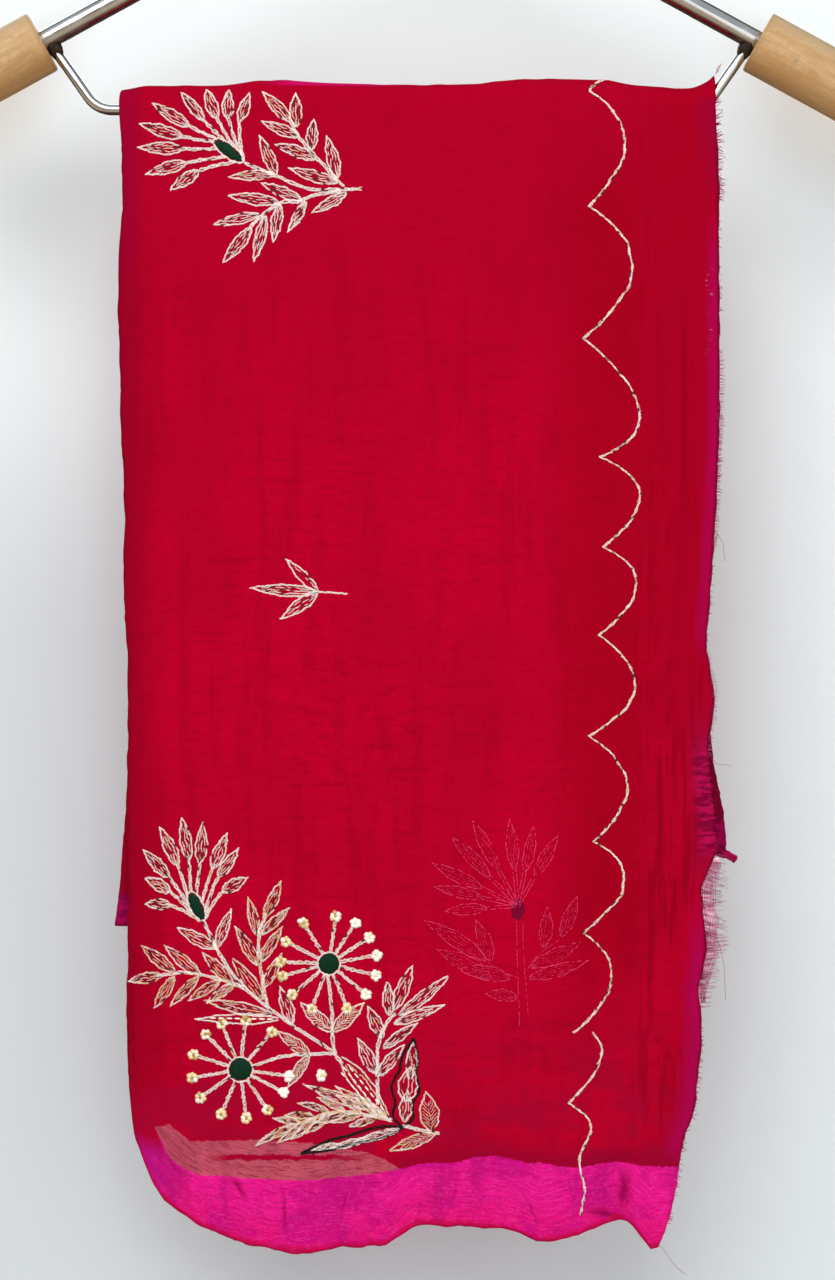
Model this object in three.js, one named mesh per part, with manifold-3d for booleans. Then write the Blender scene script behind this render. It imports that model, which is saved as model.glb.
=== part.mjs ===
// A chiffon saree, one unstitched length of cloth, folded into a long strip and hung over the trouser bar
// of a wood and steel hanger. Millimetres, +Z up, the front faces -Y.
// The origin is the seat of the hook: the point inside its top that rests on a rail.
import * as THREE from "three";
import { mergeVertices } from "three/addons/utils/BufferGeometryUtils.js";
import Module from "manifold-3d";

const wasm = await Module();
wasm.setup();

const { cos, sin, tan, sqrt, hypot, max, min, abs, exp, PI } = Math;
const degrees = (angle) => (angle * PI) / 180;

// ---- Driving sizes -------------------------------------------------------------------------------

const cloth = {
  wall: 1.2, // one outer layer of chiffon with the air that it holds
  gap: 0.6, // between neighbouring layers
  seam: 0.4, // between the front and the back stretch, along the ridge
  slack: 0.6, // what the gap grows by towards the foot of a stretch
  foldLeg: 8, // how far the outer layer runs on behind the strip after its left fold
};

const hook = { wire: 5, inside: 38, tipAngle: 205, shank: 20 };

const arms = { tube: 9.5, slope: degrees(28.7), bend: 45, seatToApex: 72, intoSleeve: 52 };

const bar = { wire: 4.8, belowApex: 116.4, cornerAt: 140.9, rise: degrees(54.9), bend: 14, clearance: 0.6 };

const sleeve = { diameter: 29, length: 70, startAt: 166, bevel: 1.4, endRound: 5, boreGap: 0.3 };

// Outer ridge of the cloth above the bar's axis, from left to right.
const ridge = [
  { across: -129.7, height: 9.2 },
  { across: -115.0, height: 11.0 },
  { across: -83.0, height: 11.3 },
  { across: -60.0, height: 13.8 },
  { across: -32.0, height: 12.6 },
  { across: 5.0, height: 11.5 },
  { across: 32.0, height: 12.0 },
  { across: 54.0, height: 14.0 },
  { across: 72.0, height: 14.6 },
  { across: 97.0, height: 13.6 },
  { across: 110.0, height: 11.3 },
  { across: 133.4, height: 10.2 },
  { across: 142.6, height: 13.2 },
  { across: 148.0, height: 18.6 },
];

// Level sections of the front stretch: where its left fold and its right raw edge lie, and how thick
// the whole folded strip is there.
const frontSections = [
  { drop: 0, left: -129.7, right: 145.4, bundle: 6.9 },
  { drop: 39, left: -128.3, right: 147.2, bundle: 7.1 },
  { drop: 76, left: -130.2, right: 147.2, bundle: 7.3 },
  { drop: 112, left: -129.7, right: 147.4, bundle: 7.4 },
  { drop: 149, left: -128.8, right: 147.2, bundle: 7.4 },
  { drop: 186, left: -127.4, right: 145.6, bundle: 7.4 },
  { drop: 223, left: -127.9, right: 143.4, bundle: 7.4 },
  { drop: 248, left: -126.0, right: 141.4, bundle: 7.4 },
  { drop: 273, left: -125.6, right: 144.9, bundle: 7.4 },
  { drop: 306, left: -126.0, right: 142.6, bundle: 7.3 },
  { drop: 342, left: -125.6, right: 143.4, bundle: 7.2 },
  { drop: 379, left: -125.6, right: 140.8, bundle: 7.0 },
  { drop: 416, left: -126.5, right: 138.5, bundle: 6.8 },
  { drop: 453, left: -125.1, right: 137.1, bundle: 6.4 },
  { drop: 487, left: -124.6, right: 128.8, bundle: 5.6 },
  { drop: 528, left: -124.6, right: 117.3, bundle: 4.8 },
];

// The hem of the front stretch, from the foot of the left fold round to the tip of the right corner.
const frontHem = [
  { across: -125.1, drop: 450.9 },
  { across: -123.7, drop: 467.0 },
  { across: -119.6, drop: 485.4 },
  { across: -112.7, drop: 499.2 },
  { across: -102.1, drop: 509.3 },
  { across: -87.4, drop: 518.1 },
  { across: -69.0, drop: 525.4 },
  { across: -41.4, drop: 528.6 },
  { across: -13.8, drop: 526.3 },
  { across: 0.0, drop: 521.7 },
  { across: 13.8, drop: 514.8 },
  { across: 36.8, drop: 517.1 },
  { across: 69.0, drop: 523.6 },
  { across: 87.4, drop: 518.1 },
  { across: 98.9, drop: 514.4 },
  { across: 106.7, drop: 517.0 },
  { across: 117.3, drop: 527.0 },
];

// The hem of the front stretch is turned up behind it: the top edge of that flap.
const flapTop = [
  { across: -111.0, drop: 476.4 },
  { across: -105.0, drop: 488.9 },
  { across: -92.0, drop: 492.9 },
  { across: -44.0, drop: 495.4 },
  { across: -16.0, drop: 493.7 },
  { across: 0.0, drop: 490.0 },
  { across: 14.0, drop: 488.4 },
  { across: 32.0, drop: 486.8 },
  { across: 74.0, drop: 486.4 },
  { across: 101.0, drop: 484.9 },
  { across: 128.8, drop: 487.4 },
];

// Where the hidden layers of the front stretch end, above that flap.
const frontPackFoot = [
  { across: -122.0, drop: 449.4 },
  { across: -113.0, drop: 465.4 },
  { across: -98.0, drop: 472.9 },
  { across: -42.0, drop: 473.9 },
  { across: -14.0, drop: 479.4 },
  { across: 0.0, drop: 483.4 },
  { across: 14.0, drop: 482.4 },
  { across: 32.0, drop: 480.4 },
  { across: 74.0, drop: 479.9 },
  { across: 101.0, drop: 478.4 },
  { across: 132.0, drop: 480.4 },
];

// Level sections of the back stretch, which hangs shorter and shows past the front one near its foot.
const backSections = [
  { drop: 0, left: -129.7, right: 145.4, bundle: 6.9 },
  { drop: 60, left: -128.6, right: 146.2, bundle: 7.1 },
  { drop: 150, left: -128.4, right: 146.0, bundle: 7.4 },
  { drop: 240, left: -127.4, right: 143.2, bundle: 7.2 },
  { drop: 300, left: -127.4, right: 146.0, bundle: 6.9 },
  { drop: 326, left: -128.4, right: 150.8, bundle: 6.6 },
  { drop: 350, left: -130.4, right: 152.6, bundle: 6.4 },
  { drop: 380, left: -133.6, right: 152.6, bundle: 5.8 },
];

const backHem = [
  { across: -133.6, drop: 379.6 },
  { across: -121.0, drop: 379.0 },
  { across: -80.0, drop: 370.0 },
  { across: -40.0, drop: 368.0 },
  { across: 0.0, drop: 361.0 },
  { across: 45.0, drop: 359.0 },
  { across: 90.0, drop: 352.0 },
  { across: 125.0, drop: 351.0 },
  { across: 152.6, drop: 345.0 },
];

// Broad soft folds in the outer layer: centre, lean from upright, half length, half width and height.
const frontFolds = [
  { across: 129, drop: 152.4, lean: -2, long: 95, wide: 9, height: -1.5 },
  { across: 112, drop: 192.4, lean: 6, long: 80, wide: 10, height: 0.8 },
  { across: 118, drop: 264.4, lean: -35, long: 30, wide: 10, height: 1.1 },
  { across: -112, drop: 182.4, lean: 4, long: 120, wide: 14, height: 0.8 },
  { across: -96, drop: 404.4, lean: -48, long: 44, wide: 12, height: 1.4 },
  { across: -102, drop: 438.4, lean: -42, long: 40, wide: 12, height: -1.2 },
  { across: 66, drop: 416.4, lean: 86, long: 60, wide: 14, height: 1.0 },
  { across: 66, drop: 448.4, lean: 84, long: 60, wide: 14, height: -0.8 },
  { across: -20, drop: 302.4, lean: 12, long: 70, wide: 16, height: 0.7 },
  { across: 40, drop: 72.4, lean: -20, long: 60, wide: 18, height: 0.6 },
];

const backFolds = [
  { across: -84, drop: 190, lean: 5, long: 110, wide: 13, height: 1.2 },
  { across: -30, drop: 240, lean: -8, long: 80, wide: 14, height: -1.0 },
  { across: 48, drop: 160, lean: 10, long: 100, wide: 15, height: 1.1 },
  { across: 110, drop: 250, lean: -12, long: 70, wide: 11, height: -1.3 },
];

// Gathers of the turned-up hem, which grow towards its lower edge.
const hemGathers = [
  { across: -96, wide: 9, height: 1.6 },
  { across: -70, wide: 8, height: -1.4 },
  { across: -44, wide: 10, height: 1.5 },
  { across: -14, wide: 9, height: -1.3 },
  { across: 20, wide: 10, height: 1.4 },
  { across: 52, wide: 10, height: -1.0 },
  { across: 82, wide: 8, height: 1.6 },
  { across: 103, wide: 7, height: -2.4 },
  { across: 119, wide: 7, height: 1.5 },
];
const gatherDepth = 46; // how far above the hem the gathers start

// The edge of the hidden layers, from the outermost to the innermost: noses and grooves.
const layeredEdge = [
  { depth: 0.12, reach: 0.3 },
  { depth: 0.3, reach: 2.0 },
  { depth: 0.5, reach: 0.2 },
  { depth: 0.7, reach: 2.4 },
  { depth: 0.88, reach: 0.3 },
];

// How far the hidden layers stay inside the outer layer's left fold and its right edge.
const packInset = { left: 4.5, right: 8 };
const edgeTaper = { wide: 26, share: 0.2 }; // the strip thins towards its raw edge

// Frayed stretches of the raw edge. Each has a narrow strip just outside the cloth and loose threads.
const frays = [
  { name: "frayed_edge_upper", from: 114, to: 202, strands: 32, strip: 1.2, long: 1.7, uneven: 0.9 },
  { name: "frayed_edge_middle", from: 254, to: 298, strands: 16, strip: 1.1, long: 1.5, uneven: 0.8 },
  { name: "frayed_edge_lower", from: 352, to: 414, strands: 36, strip: 6.0, long: 3.0, uneven: 1.4 },
];
const thread = { thick: 0.7, droop: 0.35 };

const looseCorner = { thick: 3.2, across: 154.0, drop: 342, reach: 5.4, fall: 6 };

// ---- Reading the tables --------------------------------------------------------------------------

// The value of a column where another column has the value at, on a smooth line through the rows.
function read(table, key, at, column) {
  const last = table.length - 1;
  const place = min(max(at, table[0][key]), table[last][key]);
  let i = 0;
  while (i < last - 1 && table[i + 1][key] < place) i++;
  const slope = (j) => {
    const a = table[max(j - 1, 0)];
    const b = table[min(j + 1, last)];
    return (b[column] - a[column]) / (b[key] - a[key]);
  };
  const span = table[i + 1][key] - table[i][key];
  const t = (place - table[i][key]) / span;
  const rise = table[i + 1][column] - table[i][column];
  const steepest = (3 * abs(rise)) / span;
  const m0 = max(-steepest, min(steepest, slope(i))) * span;
  const m1 = max(-steepest, min(steepest, slope(i + 1))) * span;
  const t2 = t * t;
  const t3 = t2 * t;
  return (
    table[i][column] * (2 * t3 - 3 * t2 + 1) + m0 * (t3 - 2 * t2 + t) +
    table[i + 1][column] * (3 * t2 - 2 * t3) + m1 * (t3 - t2)
  );
}

const ease = (from, to, at) => {
  const t = min(max((at - from) / (to - from), 0), 1);
  return t * t * (3 - 2 * t);
};

// The rows of a hem with more put between them, so that none is further than most from the next,
// each with its share of the way along.
function columnsOf(hem, most) {
  const points = [hem[0]];
  for (let i = 1; i < hem.length; i++) {
    const [a, b] = [hem[i - 1], hem[i]];
    const pieces = Math.ceil(hypot(b.across - a.across, b.drop - a.drop) / most);
    for (let k = 1; k <= pieces; k++) {
      const t = k / pieces;
      points.push({ across: a.across + (b.across - a.across) * t, drop: a.drop + (b.drop - a.drop) * t });
    }
  }
  let run = 0;
  points[0].share = 0;
  for (let i = 1; i < points.length; i++) {
    run += hypot(points[i].across - points[i - 1].across, points[i].drop - points[i - 1].drop);
    points[i].share = run;
  }
  return points.map((p) => ({ ...p, share: p.share / run }));
}

// ---- The hanger's bar, which the cloth follows ---------------------------------------------------

const barZ = -arms.seatToApex - bar.belowApex;
const bendTangent = bar.bend * tan(bar.rise / 2);
const bendStart = bar.cornerAt - bendTangent;
const bendEnd = bendStart + bar.bend * sin(bar.rise);

// Height of the bar's axis above its straight part, and half its upright thickness, at a place across.
function barAt(across) {
  const x = abs(across);
  const half = bar.wire / 2;
  if (x <= bendStart) return { axis: 0, half };
  if (x >= bendEnd) return { axis: (x - bar.cornerAt) * tan(bar.rise), half: half / cos(bar.rise) };
  const turn = Math.asin((x - bendStart) / bar.bend);
  return { axis: bar.bend * (1 - cos(turn)), half: half / cos(turn) };
}

// ---- The folded strip ----------------------------------------------------------------------------

const slotHalf = bar.wire / 2 + bar.clearance;

const front = {
  facing: -1,
  sections: frontSections,
  hem: frontHem,
  folds: frontFolds,
  gathers: hemGathers,
  spacing: { across: 17, down: 38, lower: 20, lowerFrom: 370 },
};
const back = {
  facing: 1,
  sections: backSections,
  hem: backHem,
  folds: backFolds,
  gathers: [],
  spacing: { across: 26, down: 46, lower: 31, lowerFrom: 290 },
};

const edgeOf = (fall, drop, side) => read(fall.sections, "drop", max(drop, 0), side);

const hemDrop = (fall, across) => {
  const { hem } = fall;
  let best = hem[0].drop;
  for (let i = 1; i < hem.length; i++) {
    const [a, b] = [hem[i - 1], hem[i]];
    const t = min(max((across - a.across) / (b.across - a.across), 0), 1);
    if (across >= a.across) best = a.drop + (b.drop - a.drop) * t;
  }
  return best;
};

function bundleAt(fall, across, drop) {
  const rightEdge = edgeOf(fall, drop, "right");
  const taper = 1 - edgeTaper.share * ease(rightEdge - edgeTaper.wide, rightEdge, across);
  return read(fall.sections, "drop", max(drop, 0), "bundle") * taper;
}

function reliefAt(fall, across, drop) {
  let relief = 0;
  for (const f of fall.folds) {
    const lean = degrees(f.lean);
    const [dx, dz] = [across - f.across, drop - f.drop];
    const beside = dx * cos(lean) - dz * sin(lean);
    const along = dx * sin(lean) + dz * cos(lean);
    relief += f.height * exp(-((beside / f.wide) ** 2) - (along / f.long) ** 2);
  }
  const toHem = hemDrop(fall, across) - drop;
  const share = 1 - ease(0, gatherDepth, toHem);
  for (const g of fall.gathers) relief += share * g.height * exp(-(((across - g.across) / g.wide) ** 2));
  return relief;
}

// A point of the strip. along is -1 on the ridge, 0 level with the bar and then the drop below it.
// depth runs from 0 on the side that faces the bar to the strip's thickness on its outer side.
function strip(fall, across, along, depth) {
  const drop = max(along, 0);
  const bundle = bundleAt(fall, across, drop);
  const under = barAt(across);
  const swell = along < 0 ? 1 : 1 + (reliefAt(fall, across, drop) * ease(0, 40, drop)) / bundle;
  const out = slotHalf + depth * swell;
  if (along < 0) {
    const turn = ((1 + along) * PI) / 2;
    const innerTop = under.half + bar.clearance;
    const stretch = (read(ridge, "across", across, "height") - under.axis - innerTop) / bundle;
    const up = innerTop + depth * stretch;
    const y = fall.facing * (out * sin(turn) + cloth.seam / 2);
    return new THREE.Vector3(across, y, barZ + under.axis + up * cos(turn));
  }
  const axis = under.axis * (1 - ease(0, 24, drop));
  return new THREE.Vector3(across, fall.facing * (out + cloth.seam / 2), barZ + axis - drop);
}

// Where a column of the strip lies across, at a drop, so that it ends at its own point of the hem.
function acrossAt(fall, column, drop, from, to) {
  const start = from ?? edgeOf(fall, drop, "left");
  const end = to ?? edgeOf(fall, drop, "right");
  const atHem = edgeOf(fall, column.drop, "left") +
    (edgeOf(fall, column.drop, "right") - edgeOf(fall, column.drop, "left")) * column.share;
  const pull = (column.across - atHem) * ease(0.5, 1, drop / column.drop);
  return start + (end - start) * column.share + pull;
}

const turnRows = [-1, -0.75, -0.5, -0.25];

// The rows of a stretch, as shares of its drop: its level sections, with more put between them.
function rowsOf(fall) {
  const { sections } = fall;
  const deepest = sections[sections.length - 1].drop;
  const rows = [...turnRows, 0];
  for (let i = 1; i < sections.length; i++) {
    const [a, b] = [sections[i - 1].drop, sections[i].drop];
    const pieces = Math.ceil((b - a) / (b > fall.spacing.lowerFrom ? fall.spacing.lower : fall.spacing.down));
    for (let k = 1; k <= pieces; k++) rows.push((a + ((b - a) * k) / pieces) / deepest);
  }
  return rows;
}

// ---- Closed solids from two faces ----------------------------------------------------------------

// A closed solid between two grids of points of the same size. rim gives the points of the edge
// between them, from the outer to the inner face, for each point of the border.
function solidBetween(outer, inner, rim = () => []) {
  const [rows, columns] = [outer.length, outer[0].length];
  const corners = [];
  const quad = (a, b, c, d) => corners.push(a, b, c, a, c, d);
  for (let j = 0; j + 1 < rows; j++) {
    for (let i = 0; i + 1 < columns; i++) {
      quad(outer[j][i], outer[j][i + 1], outer[j + 1][i + 1], outer[j + 1][i]);
      quad(inner[j][i], inner[j + 1][i], inner[j + 1][i + 1], inner[j][i + 1]);
    }
  }
  const border = [];
  for (let i = 0; i < columns - 1; i++) border.push([0, i]);
  for (let j = 0; j < rows - 1; j++) border.push([j, columns - 1]);
  for (let i = columns - 1; i > 0; i--) border.push([rows - 1, i]);
  for (let j = rows - 1; j > 0; j--) border.push([j, 0]);
  const ladders = border.map(([j, i]) => [outer[j][i], ...rim(j, i), inner[j][i]]);
  for (let n = 0; n < ladders.length; n++) {
    const [here, next] = [ladders[n], ladders[(n + 1) % ladders.length]];
    for (let k = 0; k + 1 < here.length; k++) quad(next[k], here[k], here[k + 1], next[k + 1]);
  }
  const geometry = new THREE.BufferGeometry().setFromPoints(corners);
  return facingOut(mergeVertices(geometry, 1e-4));
}

// The same surface with no collapsed triangles, turned to face outwards.
function facingOut(geometry) {
  const all = [...geometry.index.array];
  const p = geometry.attributes.position;
  const [a, b, c] = [new THREE.Vector3(), new THREE.Vector3(), new THREE.Vector3()];
  const index = [];
  let volume = 0;
  for (let i = 0; i < all.length; i += 3) {
    const [u, v, w] = all.slice(i, i + 3);
    if (u === v || v === w || w === u) continue;
    index.push(u, v, w);
    a.fromBufferAttribute(p, u);
    b.fromBufferAttribute(p, v);
    c.fromBufferAttribute(p, w);
    volume += a.dot(b.cross(c));
  }
  if (volume < 0) index.reverse();
  geometry.setIndex(index);
  return geometry;
}

// ---- Cloth pieces --------------------------------------------------------------------------------

// The outer layer of a stretch: a leg behind the strip, round the left fold, then across its face.
function outerLayer(fall) {
  const columns = columnsOf(fall.hem, fall.spacing.across);
  const foldSteps = [180, 135, 90, 45];
  const rows = rowsOf(fall);
  const face = (offset) => rows.map((row) => {
    const points = [];
    const foldDrop = row < 0 ? row : row * columns[0].drop;
    const left = edgeOf(fall, foldDrop, "left");
    const bundle = bundleAt(fall, left, foldDrop);
    const radius = bundle / 2;
    points.push(strip(fall, left + radius + cloth.foldLeg, foldDrop, offset));
    for (const step of foldSteps) {
      const turn = degrees(step);
      const across = left + radius - (radius - offset) * sin(turn);
      points.push(strip(fall, across, foldDrop, radius + (radius - offset) * cos(turn)));
    }
    for (const column of columns) {
      const along = row < 0 ? row : row * column.drop;
      const start = edgeOf(fall, along, "left") + radius * (1 - ease(0.8, 1, row) * ease(0, 0.02, column.share));
      const across = acrossAt(fall, column, along, start);
      points.push(strip(fall, across, along, bundleAt(fall, across, along) - offset));
    }
    return points;
  });
  return solidBetween(face(0), face(cloth.wall));
}

// The hidden layers of a stretch: one rounded pack with a layered edge. Its columns follow the outer
// layer's, with two more beside the end of the leg behind it.
function hiddenLayers(fall, foot) {
  const edges = (along) => {
    const left = edgeOf(fall, along, "left");
    const radius = bundleAt(fall, left, max(along, 0)) / 2;
    const [from, to] = [left + packInset.left, edgeOf(fall, along, "right") - packInset.right];
    return { left, radius, from, to, legEnd: left + radius + cloth.foldLeg };
  };
  const inner = columnsOf(fall.hem, fall.spacing.across).filter(({ across, share }) => {
    const { legEnd, to } = edges(0);
    const level = edges(0).left + (edgeOf(fall, 0, "right") - edges(0).left) * share;
    return level > legEnd + 9 && level < to - 4;
  });
  const columns = [
    ({ from }) => from,
    ({ legEnd }) => legEnd + 1,
    ({ legEnd }) => legEnd + 3.5,
    ...inner.map((column) => ({ left, radius, drop }) => acrossAt(fall, column, drop, left + radius)),
    ({ to }) => to,
  ];
  const last = columns.length - 1;
  const rows = rowsOf(fall);
  const place = (j, i, reach = { side: 0, foot: 0 }) => {
    const level = columns[i]({ ...edges(0), drop: 0 });
    const along = rows[j] < 0 ? rows[j] : rows[j] * foot(level);
    const across = columns[i]({ ...edges(along), drop: max(along, 0) }) + reach.side;
    return { across, along: along + reach.foot, behindLeg: i < 2 };
  };
  const outerDepth = ({ across, along }) => {
    const slack = cloth.slack * ease(0.55, 0.8, along / foot(across));
    return bundleAt(fall, across, along) - cloth.wall - cloth.gap - slack;
  };
  const innerDepth = ({ behindLeg }) => (behindLeg ? cloth.wall + cloth.gap : 0);
  const face = (depthOf) => rows.map((_, j) => columns.map((__, i) => {
    const spot = place(j, i);
    return strip(fall, spot.across, spot.along, depthOf(spot));
  }));
  const rim = (j, i) => layeredEdge.map(({ depth, reach }) => {
    const side = i === 0 ? -0.6 : i === last ? 1 : 0;
    const down = j === rows.length - 1 ? 1 : 0;
    const waver = 0.75 + 0.25 * sin(1.7 * j + 0.9 * i + 9 * depth);
    const at = place(j, i, { side: side * reach * waver, foot: down * reach * waver });
    const [out, inn] = [outerDepth(place(j, i)), innerDepth(place(j, i))];
    return strip(fall, at.across, at.along, out + (inn - out) * depth);
  });
  return solidBetween(face(outerDepth), face(innerDepth), rim);
}

// The hem turned up behind the front stretch.
function turnedUpHem() {
  const columns = columnsOf(front.hem, front.spacing.across).filter((column) => column.across > -113);
  const steps = [0, 0.5, 1];
  const behind = cloth.wall + cloth.gap + cloth.slack;
  const face = (offset) => steps.map((step) => columns.map((column) => {
    const top = read(flapTop, "across", column.across, "drop");
    const low = column.drop - 0.6;
    const drop = min(top, low - 8) + (low - min(top, low - 8)) * step;
    const rightEdge = edgeOf(front, drop, "right") - 1;
    const across = min(column.across + (rightEdge - column.across) * ease(0.9, 1, column.share), rightEdge);
    return strip(front, across, drop, bundleAt(front, across, drop) - behind - offset);
  }));
  return solidBetween(face(0), face(cloth.wall));
}

// ---- Frayed edges --------------------------------------------------------------------------------

function toSolid(geometry) {
  const bare = new THREE.BufferGeometry().setAttribute("position", geometry.getAttribute("position"));
  if (geometry.index) bare.setIndex(geometry.index);
  const merged = mergeVertices(bare, 1e-4);
  return new wasm.Manifold(new wasm.Mesh({
    numProp: 3,
    vertProperties: new Float32Array(merged.attributes.position.array),
    triVerts: new Uint32Array(merged.index.array),
  }));
}

function toGeometry(solid) {
  const mesh = solid.getMesh();
  const geometry = new THREE.BufferGeometry();
  geometry.setAttribute("position", new THREE.BufferAttribute(new Float32Array(mesh.vertProperties), 3));
  geometry.setIndex(new THREE.BufferAttribute(new Uint32Array(mesh.triVerts), 1));
  return geometry;
}

// One loose thread: a three-sided spike that droops towards its tip.
function looseThread(root, reach, droop) {
  const half = thread.thick / 2;
  const ring = [[half, 0], [-half / 2, 0.86 * half], [-half / 2, -0.86 * half]].map(([up, side]) =>
    new THREE.Vector3(root.x, root.y + side, root.z + up));
  const tip = new THREE.Vector3(root.x + reach, root.y, root.z - droop);
  const corners = [ring[0], ring[1], ring[2]];
  for (let k = 0; k < 3; k++) corners.push(ring[k], tip, ring[(k + 1) % 3]);
  return toSolid(facingOut(mergeVertices(new THREE.BufferGeometry().setFromPoints(corners), 1e-4)));
}

function frayedEdge(fray) {
  const steps = 8;
  const depthAt = (drop) => bundleAt(front, edgeOf(front, drop, "right"), drop) - cloth.wall * 0.5;
  const face = (offset) => Array.from({ length: steps + 1 }, (_, k) => {
    const drop = fray.from + ((fray.to - fray.from) * k) / steps;
    const start = edgeOf(front, drop, "right") + 0.7;
    const width = fray.strip * (0.35 + 0.65 * sin((PI * (k + 0.6)) / (steps + 1.2)));
    return [0, width].map((w) => strip(front, start + w, drop, depthAt(drop) + offset));
  });
  const half = thread.thick / 2 + 0.1;
  const parts = [toSolid(solidBetween(face(half), face(-half)))];
  for (let n = 0; n < fray.strands; n++) {
    const share = (n + 0.5) / fray.strands;
    const drop = fray.from + (fray.to - fray.from) * share;
    const width = fray.strip * (0.35 + 0.65 * sin(PI * share));
    const root = strip(front, edgeOf(front, drop, "right") + 0.7 + width * 0.6, drop, depthAt(drop));
    const reach = width * 0.4 + fray.long + fray.uneven * sin(2.4 * n) * cos(1.1 * n);
    parts.push(looseThread(root, reach, reach * thread.droop * sin(1.9 * n)));
  }
  return toGeometry(wasm.Manifold.union(parts).simplify(0.02));
}

// ---- Wire, tube and wood -------------------------------------------------------------------------

// A path that hands its own points to an extrusion, one for each step.
class StationPath extends THREE.Curve {
  constructor(stations) {
    super();
    this.stations = stations;
  }
  getPoint(t) {
    return this.stations[Math.round(t * (this.stations.length - 1))].clone();
  }
  getPointAt(t) {
    return this.getPoint(t);
  }
  getTangentAt(t) {
    const last = this.stations.length - 1;
    const i = Math.round(t * last);
    const before = this.stations[max(i - 1, 0)];
    const here = this.stations[i];
    const after = this.stations[min(i + 1, last)];
    const into = here.clone().sub(before).normalize();
    const outOf = after.clone().sub(here).normalize();
    return into.add(outOf).normalize();
  }
}

function rod(stations, diameter, sides) {
  const round = new THREE.Shape();
  for (let k = 0; k <= sides; k++) {
    const turn = (2 * PI * (k % sides)) / sides;
    const [x, y] = [(diameter / 2) * cos(turn), (diameter / 2) * sin(turn)];
    if (k === 0) round.moveTo(x, y);
    else round.lineTo(x, y);
  }
  return new THREE.ExtrudeGeometry(round, {
    steps: stations.length - 1,
    extrudePath: new StationPath(stations),
    bevelEnabled: false,
  });
}

// Stations of a bent wire in the XZ plane: its corners, each rounded by an arc.
function bentStations(corners, radius, arcSteps) {
  const stations = [corners[0]];
  for (let i = 1; i + 1 < corners.length; i++) {
    const into = corners[i].clone().sub(corners[i - 1]).normalize();
    const outOf = corners[i + 1].clone().sub(corners[i]).normalize();
    const turn = into.angleTo(outOf);
    const tangent = radius * tan(turn / 2);
    const start = corners[i].clone().addScaledVector(into, -tangent);
    const inward = outOf.clone().sub(into).normalize();
    const centre = corners[i].clone().addScaledVector(inward, sqrt(tangent ** 2 + radius ** 2));
    const spoke = start.clone().sub(centre);
    const axle = into.clone().cross(outOf).normalize();
    for (let k = 0; k <= arcSteps; k++) {
      stations.push(centre.clone().add(spoke.clone().applyAxisAngle(axle, (turn * k) / arcSteps)));
    }
  }
  stations.push(corners[corners.length - 1]);
  return stations;
}

const spot = (x, z) => new THREE.Vector3(x, 0, z);

const sharpApexZ = -arms.seatToApex + arms.bend * (1 / cos(arms.slope) - 1);
const armZ = (across) => sharpApexZ - abs(across) * tan(arms.slope);

function hangerArms() {
  const end = sleeve.startAt + arms.intoSleeve * cos(arms.slope);
  return rod(bentStations([spot(-end, armZ(end)), spot(0, sharpApexZ), spot(end, armZ(end))], arms.bend, 8), arms.tube, 12);
}

// The bar stops just short of the tube that it is welded to.
function trouserBar() {
  const run = (armZ(bar.cornerAt) - barZ) / (sin(bar.rise) + cos(bar.rise) * tan(arms.slope));
  const length = run - arms.tube / 2 - 0.8;
  const end = spot(bar.cornerAt + length * cos(bar.rise), barZ + length * sin(bar.rise));
  const corners = [spot(-end.x, end.z), spot(-bar.cornerAt, barZ), spot(bar.cornerAt, barZ), end];
  return rod(bentStations(corners, bar.bend, 6), bar.wire, 10);
}

function hangerHook() {
  const radius = (hook.inside + hook.wire) / 2;
  const centreZ = -hook.inside / 2;
  const foot = spot(0, -arms.seatToApex + arms.tube / 2 + 0.4);
  const stations = [];
  const neck = new THREE.CubicBezierCurve3(
    spot(0, foot.z + hook.shank), spot(0, foot.z + hook.shank + 9), spot(radius, centreZ - 16), spot(radius, centreZ),
  );
  stations.push(foot);
  for (let k = 0; k <= 7; k++) stations.push(neck.getPoint(k / 7));
  const arcSteps = 16;
  for (let k = 1; k <= arcSteps; k++) {
    const turn = degrees((hook.tipAngle * k) / arcSteps);
    stations.push(spot(radius * cos(turn), centreZ + radius * sin(turn)));
  }
  return rod(stations, hook.wire, 8);
}

// A turned sleeve with a blind bore for the tube. Its axis is Y, its inner end at 0.
function woodenSleeve() {
  const radius = sleeve.diameter / 2;
  const bore = arms.tube / 2 + sleeve.boreGap;
  const boreEnd = arms.intoSleeve + 1;
  const profile = [[0, boreEnd], [bore, boreEnd], [bore, 0], [radius - sleeve.bevel, 0], [radius, sleeve.bevel]];
  for (let k = 0; k <= 3; k++) {
    const turn = (k / 3) * (PI / 2);
    profile.push([
      radius - sleeve.endRound * (1 - cos(turn)),
      sleeve.length - sleeve.endRound * (1 - sin(turn)),
    ]);
  }
  profile.push([0, sleeve.length]);
  return facingOut(bareMerged(new THREE.LatheGeometry(profile.map(([r, y]) => new THREE.Vector2(r, y)), 24)));
}

function bareMerged(geometry) {
  const bare = new THREE.BufferGeometry().setAttribute("position", geometry.getAttribute("position"));
  if (geometry.index) bare.setIndex(geometry.index);
  return mergeVertices(bare, 1e-4);
}

// The lower right corner of the back stretch, twisted into a short tail.
function looseTail() {
  const y = back.facing * (slotHalf + 2.2);
  const stations = [0, 0.3, 0.65, 1].map((t) => new THREE.Vector3(
    looseCorner.across + looseCorner.reach * t,
    y - 0.8 * sin(3 * t),
    barZ - looseCorner.drop - looseCorner.fall * sqrt(t),
  ));
  return rod(stations, looseCorner.thick, 8);
}

// ---- Materials and the scene graph ---------------------------------------------------------------

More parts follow.
